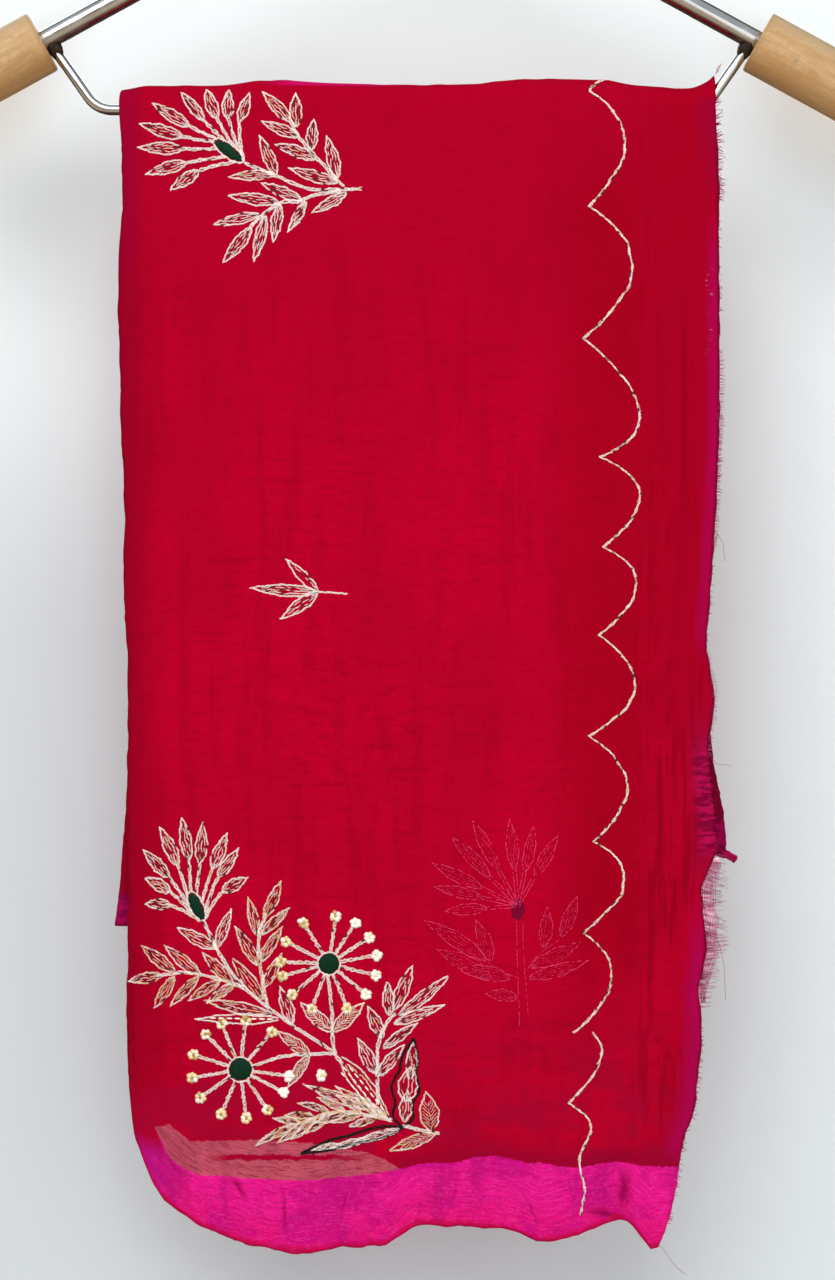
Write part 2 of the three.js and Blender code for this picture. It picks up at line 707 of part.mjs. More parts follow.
const finish = (color, roughness, metalness = 0) =>
  new THREE.MeshStandardMaterial({ color, roughness, metalness });

const crimson = finish(0xb30028, 0.75);
const deepRed = finish(0x9a0020, 0.8);
const magenta = finish(0xd8127a, 0.75);
const palePink = finish(0xcf7f9c, 0.85);
const steel = finish(0xb9bcc0, 0.25, 1);
const beech = finish(0xc59a68, 0.6);

const saree = new THREE.Group();
saree.name = "chiffon_saree";
const hanger = new THREE.Group();
hanger.name = "hanger";

function add(group, name, geometry, material) {
  const mesh = new THREE.Mesh(geometry, material);
  mesh.name = name;
  group.add(mesh);
  return mesh;
}

add(saree, "front_stretch_outer_layer", outerLayer(front), crimson);
add(saree, "back_stretch_outer_layer", outerLayer(back), crimson);
const frontFoot = (across) => read(frontPackFoot, "across", across, "drop");
const backFoot = (across) => hemDrop(back, across) - 6;
add(saree, "front_stretch_hidden_layers", hiddenLayers(front, frontFoot), deepRed);
add(saree, "back_stretch_hidden_layers", hiddenLayers(back, backFoot), deepRed);
add(saree, "turned_up_hem", turnedUpHem(), magenta);
add(saree, "loose_corner", looseTail(), magenta);
for (const fray of frays) add(saree, fray.name, frayedEdge(fray), palePink);

add(hanger, "hanger_hook", hangerHook(), steel);
add(hanger, "hanger_arms", hangerArms(), steel);
add(hanger, "trouser_bar", trouserBar(), steel);
for (const [name, side] of [["wooden_sleeve_left", -1], ["wooden_sleeve_right", 1]]) {
  const wood = add(hanger, name, woodenSleeve(), beech);
  wood.position.set(side * sleeve.startAt, 0, armZ(sleeve.startAt));
  wood.rotation.set(0, side * (PI / 2 + arms.slope), 0);
  wood.rotateX(PI / 2);
}

const part = new THREE.Group();
part.name = "chiffon_saree_on_hanger";
part.add(saree, hanger);

export default part;
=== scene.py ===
import math
import bpy
import numpy as np
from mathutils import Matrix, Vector


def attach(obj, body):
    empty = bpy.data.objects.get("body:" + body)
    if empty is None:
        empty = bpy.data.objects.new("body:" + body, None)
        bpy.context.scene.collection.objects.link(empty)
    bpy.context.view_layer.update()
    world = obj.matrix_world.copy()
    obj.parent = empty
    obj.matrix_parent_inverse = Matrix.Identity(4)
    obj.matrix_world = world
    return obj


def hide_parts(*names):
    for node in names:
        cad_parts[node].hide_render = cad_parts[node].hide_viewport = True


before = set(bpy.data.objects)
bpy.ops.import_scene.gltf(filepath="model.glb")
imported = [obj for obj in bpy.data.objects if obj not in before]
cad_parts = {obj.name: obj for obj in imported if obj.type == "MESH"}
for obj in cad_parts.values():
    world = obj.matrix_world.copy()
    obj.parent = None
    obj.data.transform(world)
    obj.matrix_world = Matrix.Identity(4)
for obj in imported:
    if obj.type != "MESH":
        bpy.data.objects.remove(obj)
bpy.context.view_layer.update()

mm = 0.001
print("frame loaded:", ", ".join(sorted(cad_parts)))

# sizes are in millimetres: across is X, and drop is measured down from the axis of the trouser bar
cloth = {"wall": 1.2, "gap": 0.6, "slack": 0.6, "seam": 0.4, "foldLeg": 8.0, "shell": 0.3,
         "faceColumns": 128, "frontRows": 214, "backRows": 118, "turnRows": 9}

bar = {"wire": 4.8, "height": -188.4, "cornerAt": 140.9, "rise": math.radians(54.9), "bend": 14.0,
       "clearance": 0.6}

ridge = {
    "across": [-129.7, -115.0, -83.0, -60.0, -32.0, 5.0, 32.0, 54.0, 72.0, 97.0, 110.0, 133.4, 142.6,
               148.0],
    "height": [9.2, 11.0, 11.3, 13.8, 12.6, 11.5, 12.0, 14.0, 14.6, 13.6, 11.3, 10.2, 13.2, 18.6],
}
frontSections = {
    "drop": [0, 39, 76, 112, 149, 186, 223, 248, 273, 295, 312, 330, 343, 352, 361, 377, 390, 407, 418, 430,
             453, 465, 476, 490, 502, 515, 528],
    "left": [-129.7, -128.3, -130.2, -129.7, -128.8, -127.4, -127.9, -126.0, -125.6, -125.9, -126.0, -125.7,
             -125.6, -125.6, -125.6, -125.6, -125.8, -126.2, -126.5, -126.2, -125.1, -124.8, -124.6, -124.6,
             -124.6, -124.6, -124.6],
    "right": [145.4, 147.2, 147.2, 147.4, 147.2, 145.6, 143.4, 141.4, 145.0, 142.1, 143.2, 145.0, 145.8,
              142.8, 139.2, 140.8, 141.2, 138.2, 138.9, 139.4, 137.3, 135.6, 131.4, 129.3, 127.4, 124.0,
              118.4],
    "bundle": [6.9, 7.1, 7.3, 7.4, 7.4, 7.4, 7.4, 7.4, 7.4, 7.35, 7.3, 7.25, 7.2, 7.15, 7.1, 7.0, 6.95,
               6.85, 6.8, 6.7, 6.4, 6.1, 5.8, 5.5, 5.2, 5.0, 4.8],
}
frontHem = {
    "across": [-125.1, -123.7, -122.4, -119.6, -114.1, -108.6, -96.6, -87.4, -69.0, -55.2, -41.4, -28.5,
               -18.4, -7.4, -1.8, 8.3, 18.4, 32.2, 44.2, 55.2, 63.5, 69.9, 80.0, 92.0, 100.3, 105.8, 111.3,
               115.5, 118.8],
    "drop": [450.9, 467.0, 475.3, 482.6, 496.4, 504.7, 513.0, 518.5, 525.4, 528.2, 528.9, 526.3, 526.8,
             525.9, 522.2, 515.3, 516.2, 516.7, 518.0, 520.4, 524.2, 523.6, 520.8, 516.7, 513.9, 515.8,
             521.8, 527.3, 525.8],
}
flapTop = {
    "across": [-125.0, -116.0, -113.6, -109.5, -105.8, -99.4, -92.9, -81.9, -69.0, -46.0, -15.6, 0.0, 9.0,
               27.6, 34.0, 44.0, 51.5, 59.0, 64.4, 74.0, 83.0, 92.0, 100.0, 110.4, 128.8],
    "drop": [470.0, 470.6, 471.3, 478.0, 485.4, 490.0, 492.7, 493.2, 494.6, 495.5, 492.8, 490.3, 487.7,
             486.8, 484.5, 484.0, 485.4, 487.7, 486.8, 489.0, 489.5, 487.7, 487.0, 488.6, 489.5],
}
patchTop = {
    "across": [-114.0, -106.3, -101.5, -96.6, -65.0, -41.4, -15.6, -6.4, 0.0, 4.0],
    "drop": [471.0, 469.3, 473.5, 477.3, 476.7, 478.0, 482.6, 486.0, 490.4, 496.0],
}
frontPackFoot = {
    "across": [-122.0, -113.0, -98.0, -42.0, -14.0, 0.0, 14.0, 32.0, 74.0, 101.0, 132.0],
    "drop": [455.0, 463.0, 470.0, 471.5, 476.0, 481.0, 481.0, 479.0, 480.0, 478.4, 478.4],
}
backSections = {
    "drop": [0, 60, 150, 240, 300, 326, 350, 380],
    "left": [-129.7, -128.6, -128.4, -127.4, -127.4, -128.4, -130.4, -133.6],
    "right": [145.4, 146.2, 146.0, 143.2, 146.0, 150.8, 152.6, 152.6],
    "bundle": [6.9, 7.1, 7.4, 7.2, 6.9, 6.6, 6.4, 5.8],
}
backHem = {
    "across": [-133.6, -121.0, -80.0, -40.0, 0.0, 45.0, 90.0, 125.0, 152.6],
    "drop": [379.6, 379.0, 370.0, 368.0, 361.0, 359.0, 352.0, 351.0, 345.0],
}

# folds and creases: across, drop, lean from upright in degrees, half length, half width, height
broadFrontFolds = [
    (129, 152, -2, 95, 9, -1.5), (112, 192, 6, 80, 10, 0.8), (118, 264, -35, 30, 10, 1.1),
    (-112, 182, 4, 120, 14, 0.8), (-96, 404, -48, 44, 12, 1.4), (-102, 438, -42, 40, 12, -1.2),
    (66, 416, 86, 60, 14, 1.0), (66, 448, 84, 60, 14, -0.8), (-20, 302, 12, 70, 16, 0.7),
    (40, 72, -20, 60, 18, 0.6),
]
frontCreases = [
    (-43, 276, 80, 22, 1.8, 0.9), (-22, 295, 3, 16, 1.6, 1.0), (-8, 255, 88, 24, 1.8, 0.7),
    (-36, 283, 70, 18, 1.6, -0.8), (-16, 268, 20, 12, 1.6, 0.8), (-30, 305, 12, 12, 1.6, -0.7),
    (-9, 85, 87, 24, 1.8, 0.4), (50, 426, 89, 34, 2.0, -0.7), (52, 431, 88, 30, 2.4, 0.6),
    (133, 136, 1, 58, 1.9, -1.5), (129, 142, -2, 50, 2.2, 1.4), (121, 120, 4, 40, 2.0, -1.1),
    (117, 96, 2, 44, 2.0, 0.9), (125, 232, -6, 40, 1.8, 1.2), (119, 214, 5, 34, 2.0, -1.1),
                (124, 190, -8, 26, 2.0, 0.6), (-112, 430, -50, 26, 1.8, 0.7),
                (-106, 446, -44, 24, 2.0, -0.7),
    (-98, 426, -56, 26, 2.2, 0.5), (120, 428, 62, 20, 2.2, 0.6), (124, 438, 48, 18, 2.0, -0.7),
    (112, 446, 70, 22, 2.4, 0.5), (-30, 150, 84, 34, 2.4, 0.35), (30, 205, 86, 30, 2.4, 0.35),
    (-66, 120, 78, 30, 2.6, 0.35), (60, 300, 80, 30, 2.4, -0.35), (20, 350, 84, 34, 2.2, 0.35),
    (-90, 160, 88, 22, 2.2, 0.35), (-60, 330, 84, 26, 2.4, 0.35), (0, 395, 78, 26, 2.6, -0.35),
    (70, 250, 70, 20, 2.2, 0.4), (100, 350, 30, 20, 2.2, 0.5), (108, 300, -30, 18, 2.0, 0.5),
    (116, 262, -40, 14, 2.0, 0.7), (122, 268, -25, 16, 2.0, -0.6), (-118, 250, 2, 60, 2.2, -0.4),
    (-72, 510, 4, 14, 2.0, 1.1), (-55, 512, -6, 14, 2.0, 1.0), (-44, 510, 3, 12, 2.0, -1.0),
    (104, 499, 2, 14, 1.8, -1.2), (108, 507, 12, 14, 2.0, 0.9), (86, 508, -8, 12, 2.2, 0.7),
    (-98, 502, -40, 14, 1.8, 0.9), (-20, 514, 14, 11, 2.2, 0.7), (24, 506, -10, 11, 2.2, 0.7),
    (56, 510, 20, 11, 2.2, -0.7), (118, 510, 24, 14, 1.8, 0.8), (-112, 488, -30, 12, 1.8, 0.8),
]
hemGathers = [
    (-96, 9, 1.6), (-70, 8, -1.4), (-44, 10, 1.5), (-14, 9, -1.3), (20, 10, 1.4),
    (52, 10, -1.0), (82, 8, 1.6), (103, 7, -2.4), (119, 7, 1.5),
]
broadBackFolds = [
    (-84, 190, 5, 110, 13, 1.2), (-30, 240, -8, 80, 14, -1.0), (48, 160, 10, 100, 15, 1.1),
    (110, 250, -12, 70, 11, -1.3),
]
backCreases = [
    (-60, 80, 82, 30, 2.4, 0.5), (20, 130, 86, 34, 2.4, 0.45), (80, 210, 76, 28, 2.4, -0.5),
    (-20, 260, 84, 34, 2.4, 0.5), (-100, 300, -40, 30, 2.4, 0.8), (60, 330, 70, 26, 2.4, 0.6),
    (110, 320, 40, 26, 2.4, -0.8), (-90, 190, 3, 60, 2.4, 0.6), (124, 140, -2, 60, 2.4, -0.7),
    (0, 345, 80, 30, 2.4, 0.5), (-50, 350, 20, 18, 2.4, 0.7), (100, 60, 30, 26, 2.6, 0.5),
]

front = {"facing": -1, "sections": frontSections, "hem": frontHem, "folds": broadFrontFolds,
         "creases": frontCreases, "gathers": hemGathers, "seed": 3}
back = {"facing": 1, "sections": backSections, "hem": backHem, "folds": broadBackFolds,
        "creases": backCreases, "gathers": [], "seed": 11}


def readTable(table, key, at, column):
    # a smooth line through the rows that never swings past them
    keys, values = np.array(table[key], float), np.array(table[column], float)
    at = np.clip(np.asarray(at, float), keys[0], keys[-1])
    i = np.clip(np.searchsorted(keys, at, side="left") - 1, 0, len(keys) - 2)
    slopes = np.empty(len(keys))
    slopes[1:-1] = (values[2:] - values[:-2]) / (keys[2:] - keys[:-2])
    slopes[0] = (values[1] - values[0]) / (keys[1] - keys[0])
    slopes[-1] = (values[-1] - values[-2]) / (keys[-1] - keys[-2])
    span, rise = keys[i + 1] - keys[i], values[i + 1] - values[i]
    t = (at - keys[i]) / span
    most = 3 * np.abs(rise) / span
    m0 = np.clip(slopes[i], -most, most) * span
    m1 = np.clip(slopes[i + 1], -most, most) * span
    return (values[i] * (2 * t**3 - 3 * t**2 + 1) + m0 * (t**3 - 2 * t**2 + t)
            + values[i + 1] * (3 * t**2 - 2 * t**3) + m1 * (t**3 - t**2))


def ease(low, high, at):
    t = np.clip((np.asarray(at, float) - low) / (high - low), 0, 1)
    return t * t * (3 - 2 * t)


def spaced(count, zones):
    # places from 0 to 1, closer together in the zones: start, end, how many times closer
    at = np.linspace(0, 1, 2001)
    weight = np.ones_like(at)
    for low, high, closer in zones:
        inside = ease(low - 0.02, low + 0.02, at) * (1 - ease(high - 0.02, high + 0.02, at))
        weight = weight + (closer - 1) * inside
    run = np.concatenate([[0], np.cumsum((weight[1:] + weight[:-1]) / 2)])
    return np.interp(np.linspace(0, run[-1], count), run, at)


noiseCells = 97


def softNoise(x, z, wideX, wideZ, seed):
    # smooth random heights from -1 to 1, with lumps of the given width and height
    table = np.random.default_rng(seed).uniform(-1, 1, (noiseCells, noiseCells))
    u, v = np.asarray(x) / wideX + 31.3, np.asarray(z) / wideZ + 17.7
    i, j = np.floor(u).astype(int), np.floor(v).astype(int)
    fu, fv = u - i, v - j
    fu, fv = fu * fu * (3 - 2 * fu), fv * fv * (3 - 2 * fv)
    near, nextTo = i % noiseCells, (i + 1) % noiseCells
    row, nextRow = j % noiseCells, (j + 1) % noiseCells
    low = table[near, row] * (1 - fu) + table[nextTo, row] * fu
    high = table[near, nextRow] * (1 - fu) + table[nextTo, nextRow] * fu
    return low * (1 - fv) + high * fv


def waver(at, wide, seed):
    return softNoise(at, 0.0, wide, 1.0, seed)


def ridgesOf(table, across, drop):
    height = np.zeros(np.broadcast(across, drop).shape)
    for x, d, lean, halfLong, halfWide, high in table:
        turn = math.radians(lean)
        dx, dz = across - x, drop - d
        beside = dx * math.cos(turn) - dz * math.sin(turn)
        along = dx * math.sin(turn) + dz * math.cos(turn)
        height = height + high * np.exp(-((beside / halfWide) ** 2) - (along / halfLong) ** 2)
    return height


def barAt(across):
    x = np.abs(across)
    tangent = bar["bend"] * math.tan(bar["rise"] / 2)
    start = bar["cornerAt"] - tangent
    end = start + bar["bend"] * math.sin(bar["rise"])
    turn = np.arcsin(np.clip((x - start) / bar["bend"], 0, math.sin(bar["rise"])))
    axis = np.where(x >= end, (x - bar["cornerAt"]) * math.tan(bar["rise"]),
                    bar["bend"] * (1 - np.cos(turn)))
    return axis, bar["wire"] / 2 / np.cos(turn)


def ridgeAt(across):
    return readTable(ridge, "across", across, "height") + 0.35 * waver(across, 6.5, 88)


def edgeOf(fall, drop, column):
    return readTable(fall["sections"], "drop", np.maximum(drop, 0), column)


def leftWaver(fall, drop):
    # the folded edge on the left wanders a little
    wide, narrow = waver(drop, 8.0, fall["seed"] + 62), waver(drop, 3.0, fall["seed"] + 63)
    return (0.45 * wide + 0.2 * narrow) * ease(4, 16, drop)


def raggedEdge(fall, drop):
    # how far the cut edge on the right strays from its even line
    return 0.4 * waver(drop, 4.5, fall["seed"] + 60) + 0.25 * waver(drop, 1.7, fall["seed"] + 61)


def lineAt(table, across):
    return np.interp(across, table["across"], table["drop"])


def runAlong(points):
    # how far along a line each of its points is
    return np.concatenate([[0], np.cumsum(np.linalg.norm(np.diff(points, axis=0), axis=1))])


def hemAt(fall, share):
    # the place on the hem at a share of its length
    line = np.stack([fall["hem"]["across"], fall["hem"]["drop"]], axis=-1).astype(float)
    run = runAlong(line)
    across, drop = (np.interp(share, run / run[-1], line[:, k]) for k in (0, 1))
    uneven = 0.75 * waver(across, 6.0, fall["seed"] + 70) + 0.35 * waver(across, 2.6, fall["seed"] + 71)
    return across, drop + uneven * ease(0, 0.06, share)


def bundleAt(fall, across, drop):
    # how thick all the layers are together, thinner near the cut edge
    beyond = across - edgeOf(fall, drop, "right")
    return edgeOf(fall, drop, "bundle") * (1 - 0.2 * ease(-26, 0, beyond))


def reliefAt(fall, across, drop):
    height = ridgesOf(fall["folds"], across, drop)
    toHem = lineAt(fall["hem"], across) - drop
    share = 1 - ease(0, 46, toHem)
    for x, wide, high in fall["gathers"]:
        height = height + share * high * np.exp(-(((across - x) / wide) ** 2))
    return height


def fineAt(fall, across, along):
    # creases and the crepe's own soft unevenness
    drop, seed = np.maximum(along, 0), fall["seed"]
    height = ridgesOf(fall["creases"], across, drop)
    height = height + 0.28 * softNoise(across, along, 26, 9, seed) + 0.16 * softNoise(across, along, 11, 5,
                                                                                      seed + 1)
    height = height + 0.1 * softNoise(across, along, 7, 30, seed + 2)
    toHem = lineAt(fall["hem"], across) - drop
    height = height + 0.45 * (1 - ease(30, 44, toHem)) * softNoise(across, toHem, 9, 3.4, seed + 4)
    if fall["facing"] > 0:
        ruffle = ease(282, 306, drop) * ease(-13, -4, across - edgeOf(fall, drop, "right"))
        height = height + 1.1 * ruffle * np.sin(drop * 2 * math.pi / 5.2 + 1.5 * softNoise(across, drop, 8,
                                                                                           9, 51))
    return height * ease(-0.6, 0.4, along)


slotHalf = bar["wire"] / 2 + bar["clearance"]   # half the room left for the bar


def strip(fall, across, along, depth, fine=0.0):
    # along is -1 on the ridge, 0 level with the bar, then the drop; depth 0 faces the bar
    across, along, depth, fine = np.broadcast_arrays(across, along, depth, fine)
    drop, turning = np.maximum(along, 0), along < 0
    bundle = bundleAt(fall, across, drop)
    axis, half = barAt(across)
    swell = 1 + np.where(turning, 0, reliefAt(fall, across, drop) * ease(0, 40, drop) / bundle)
    out = slotHalf + depth * swell + fine
    turn = np.clip(1 + along, 0, 1) * math.pi / 2
    innerTop = half + bar["clearance"]
    up = innerTop + depth * (ridgeAt(across) - axis - innerTop) / bundle + fine
    y = fall["facing"] * (out + cloth["seam"] / 2) * np.sin(turn)
    z = bar["height"] + np.where(turning, axis + up * np.cos(turn), axis * (1 - ease(0, 24, drop)) - drop)
    return np.stack([across, y, z], axis=-1)


def acrossAt(fall, share, drop, start):
    hemAcross, hemDrop = hemAt(fall, share)
    left, right = edgeOf(fall, hemDrop, "left"), edgeOf(fall, hemDrop, "right")
    pull = (hemAcross - left - (right - left) * share) * ease(0.5, 1, drop / hemDrop)
    return start + (edgeOf(fall, drop, "right") - start) * share + pull


def outerGrid(fall, rows, offset):
    # one row after another from the ridge to the hem: the leg behind, the left fold, then the face
    share = spaced(cloth["faceColumns"], [(0.22, 0.46, 1.5), (0.88, 1.1, 1.6)])
    hemDrop = hemAt(fall, share)[1]
    grid = []
    for row in rows:
        foldDrop = row if row < 0 else row * hemDrop[0]
        left = edgeOf(fall, foldDrop, "left") + leftWaver(fall, foldDrop)
        radius = bundleAt(fall, left, max(foldDrop, 0)) / 2
        leg = strip(fall, left + radius + np.linspace(cloth["foldLeg"], 2.5, 3), foldDrop, offset)
        turn = np.radians(np.linspace(180, 18, 10))
        squarer = 0.4 + 0.6 * ease(0, 24, foldDrop)
        around, toFace = np.sin(turn) ** squarer, np.sign(np.cos(turn)) * np.abs(np.cos(turn)) ** squarer
        fold = strip(fall, left + radius - (radius - offset) * around, foldDrop,
                     radius + (radius - offset) * toFace,
                     fineAt(fall, left, foldDrop) * np.maximum(np.cos(turn), 0))
        along = np.full(len(share), row) if row < 0 else row * hemDrop
        inward = radius * (1 - ease(0.8, 1, row) * ease(0, 0.02, share))
        start = edgeOf(fall, along, "left") + leftWaver(fall, foldDrop) + inward
        across = acrossAt(fall, share, np.maximum(along, 0), start)
        across = across + raggedEdge(fall, np.maximum(along, 0)) * ease(0.975, 1, share) * ease(-1, 0, row)
        face = strip(fall, across, along, bundleAt(fall, across, np.maximum(along, 0)) - offset,
                     fineAt(fall, across, along))
        grid.append(np.concatenate([leg, fold, face]))
    return np.array(grid)


def packGrid(fall, foot, rows, columns):
    # the outer and inner faces of the hidden layers and the layered rim between them
    def place(row, share, side=0.0, down=0.0):
        share = np.asarray(share, float)
        level = -124 + 262 * share
        along = np.full(share.shape, row) if row < 0 else row * foot(level) + down
        start, end = edgeOf(fall, along, "left") + 4.5, edgeOf(fall, along, "right") - 8
        across = start + (end - start) * share + side
        return across, along

    def outerDepth(across, along):
        slack = cloth["slack"] * ease(0.55, 0.8, along / foot(across))
        return bundleAt(fall, across, np.maximum(along, 0)) - cloth["wall"] - cloth["gap"] - slack

    share = np.linspace(0, 1, columns)
    outer, inner = [], []
    for row in rows:
        across, along = place(row, share)
        behindLeg = 1 - ease(0.035, 0.06, share)
        outer.append(strip(fall, across, along, outerDepth(across, along),
                           0.3 * fineAt(fall, across, along)))
        inner.append(strip(fall, across, along, 1.8 * behindLeg,
                           -0.5 * np.abs(fineAt(fall, across + 60, along))))
    return np.array(outer), np.array(inner), place, outerDepth


def makePiece(name, points, faces, tints=None):
    # points in millimetres; a face may name a corner twice
    mesh = bpy.data.meshes.new(name)
    mesh.from_pydata((points * mm).tolist(), [], [list(dict.fromkeys(map(int, f))) for f in faces])
    mesh.shade_smooth()
    if tints is not None:
        tint = mesh.attributes.new("tint", "FLOAT", "POINT")
        tint.data.foreach_set("value", np.asarray(tints, np.float32))
    piece = bpy.data.objects.new(name, mesh)
    bpy.context.scene.collection.objects.link(piece)
    return piece


def closedMesh(name, outer, inner, rim=None):
    # a closed shell from two grids of points; rim gives the points between them along the border
    rows, columns = outer.shape[:2]
    points = [outer.reshape(-1, 3), inner.reshape(-1, 3)]
    grid = np.arange(rows * columns).reshape(rows, columns)
    under = grid + rows * columns
    faces = [np.stack([grid[:-1, :-1], grid[:-1, 1:], grid[1:, 1:], grid[1:, :-1]], axis=-1).reshape(-1, 4),
             np.stack([under[:-1, :-1], under[1:, :-1], under[1:, 1:], under[:-1, 1:]], axis=-1).reshape(-1,
                                                                                                         4)]
    border = ([(0, i) for i in range(columns - 1)] + [(j, columns - 1) for j in range(rows - 1)]
              + [(rows - 1, i) for i in range(columns - 1, 0, -1)] + [(j, 0) for j in range(rows - 1, 0,
                                                                                            -1)])
    count = 2 * rows * columns
    ladders = []
    for j, i in border:
        steps = [grid[j, i]]
        if rim is not None:
            between = rim(j, i)
            points.append(between)
            steps += list(range(count, count + len(between)))
            count += len(between)
        ladders.append(steps + [under[j, i]])
    ladders = np.array(ladders)
    follow = np.roll(ladders, -1, axis=0)
    rungs = np.stack([follow[:, :-1], ladders[:, :-1], ladders[:, 1:], follow[:, 1:]], axis=-1)
    points, faces = np.concatenate(points), np.concatenate(faces + [rungs.reshape(-1, 4)])
    volume = 0.0
    for corners in (points[faces[:, :3]], points[faces[:, [0, 2, 3]]]):
        volume += np.einsum("ij,ij->i", corners[:, 0], np.cross(corners[:, 1], corners[:, 2])).sum()
    piece = makePiece(name, points, faces)
    if volume < 0:
        piece.data.flip_normals()
    return piece


def lookOf(piece, material, replaces=()):
    piece.data.materials.clear()
    piece.data.materials.append(material)
    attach(piece, "root")
    if replaces:
        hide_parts(*replaces)
    return piece


# newMaterial starts a material, and the functions after it add nodes to the one started last
current = {}


def colour(code):
    parts = [int(code[i:i + 2], 16) / 255 for i in (0, 2, 4)]
    return [p / 12.92 if p <= 0.04045 else ((p + 0.055) / 1.055) ** 2.4 for p in parts] + [1.0]


def newMaterial(name, roughness=0.5, specular=0.5, metallic=0.0):
    material = bpy.data.materials.new(name)
    material.use_nodes = True
    current["tree"] = material.node_tree
    current["shader"] = material.node_tree.nodes["Principled BSDF"]
    for key, value in (("Roughness", roughness), ("Specular IOR Level", specular), ("Metallic", metallic)):
        paintInto(key, value)
    return material


def plug(socket, value):
    # a socket takes another node's output, a hex colour or a plain value
    if isinstance(value, bpy.types.NodeSocket):
        current["tree"].links.new(value, socket)
    elif value is not None:
        socket.default_value = colour(value) if isinstance(value, str) else value


def paintInto(key, value):
    plug(current["shader"].inputs[key], value)


def addNode(kind, *values, output=0, **settings):
    made = current["tree"].nodes.new("ShaderNode" + kind)
    for key, value in settings.items():
        setattr(made, key, value)
    for socket, value in zip(made.inputs, values):
        plug(socket, value)
    return made.outputs[output]


def objectPlace():
    return addNode("TexCoord", output=3)


def partsOf(place):
    return [addNode("SeparateXYZ", place, output=i) for i in range(3)]


def mathOf(operation, *values):
    return addNode("Math", *values, operation=operation)


def times(first, *others):
    for other in others:
        first = mathOf("MULTIPLY", first, other)
    return first


def less(first, second):
    return mathOf("SUBTRACT", first, second)


def mixed(factor, first, second, blend="MIX"):
    made = current["tree"].nodes.new("ShaderNodeMix")
    made.data_type = "RGBA"
    made.blend_type = blend
    for index, value in ((0, factor), (6, first), (7, second)):
        plug(made.inputs[index], value)
    return made.outputs[2]


def tinted(base, rows):
    # each row: where it shows, from 0 to 1, and its colour
    for share, tone in rows:
        base = mixed(share, base, tone)
    return base


def rangeOf(value, low, high, toLow=0.0, toHigh=1.0):
    return addNode("MapRange", value, low, high, toLow, toHigh, interpolation_type="SMOOTHSTEP")


def ramp(value, low, high, most=1.0, least=0.0):
    # the same from lengths in millimetres
    return rangeOf(value, low * mm, high * mm, least, most)


def within(value, low, rise, high, fall, most=1.0):
    # most between low and high millimetres, easing over rise and fall
    return times(ramp(value, low, low + rise, most), ramp(value, high - fall, high, 0.0, 1.0))


def above(value, limit, soft=0.4):
    return ramp(less(value, limit), -soft, soft)


def noiseOf(place, size, stretch=(1, 1, 1), detail=2.0):
    # size is the width of one lump in millimetres
    scaled = addNode("VectorMath", place, stretch, operation="MULTIPLY")
    return addNode("TexNoise", scaled, None, 1 / (size * mm), detail, 0.55)


def lumpy(place, size, stretch, detail, low, high, most=1.0):
    return rangeOf(noiseOf(place, size, stretch, detail), low, high, 0.0, most)


def strayed(value, place, size, swing, detail=3):
    # a length that wanders by half of swing millimetres to either side
    return mathOf("MULTIPLY_ADD", noiseOf(place, size, (1, 1, 1), detail), swing * mm, value)


def curveOf(along, keys, values, low, high, first=-140.0, last=160.0):
    # a length in metres read along another one, from two lists in millimetres
    made = current["tree"].nodes.new("ShaderNodeFloatCurve")
    share = ramp(along, first, last)
    share.node.interpolation_type = "LINEAR"
    plug(made.inputs["Value"], share)
    curve = made.mapping.curves[0]
    places = [((k - first) / (last - first), (v - low) / (high - low)) for k, v in zip(keys, values)]
    curve.points[0].location = (0, places[0][1])
    curve.points[1].location = (1, places[-1][1])
    for place in places:
        if 0 < place[0] < 1:
            curve.points.new(*place)
    for point in curve.points:
        point.handle_type = "VECTOR"
    made.mapping.update()
    made.inputs["Factor"].default_value = 1
    return mathOf("MULTIPLY_ADD", made.outputs[0], (high - low) * mm, low * mm)


def dropCurve(across, table, low=430.0, high=540.0):
    return curveOf(across, table["across"], table["drop"], low, high)


def bumpOf(height, strength, distance):
    bump = current["tree"].nodes.new("ShaderNodeBump")
    bump.inputs["Strength"].default_value = strength
    bump.inputs["Distance"].default_value = distance * mm
    plug(bump.inputs["Height"], height)
    paintInto("Normal", bump.outputs[0])


def crepeHeight(place):
    # fine uneven crinkles, longer across than down
    crinkle = noiseOf(place, 2.2, (0.35, 1, 1), 3)
    pebble = noiseOf(place, 0.8, (0.8, 1, 1), 2)
    return crinkle, mathOf("MULTIPLY_ADD", pebble, 0.4, crinkle)


def clothMaterial(name):
    material = newMaterial(name, 0.92, 0.02)
    for key, value in (("Sheen Weight", 0.03), ("Sheen Roughness", 0.4), ("Sheen Tint", "ff2d6e")):
        paintInto(key, value)
    return material


# dye colours and painted shade tones of the cloth; strength dims every cloth colour together
dyesAndShades = {"many": "bf0029", "deep": "b00025", "dark": "94001c", "band": "f4198f", "bandDark": "c40a6c",
        "bandPurple": "a5127e", "border": "c4083f", "patch": "c65264", "patchLine": "8a1a3a",
        "edge": "ac0448", "leftEdge": "96022c", "rim": "76062c", "right": "a6001f", "strength": 0.87}


def setClothBase(shown):
    strength = dyesAndShades["strength"]
    paintInto("Base Color", mixed(1.0, shown, (strength, strength, strength, 1.0), "MULTIPLY"))


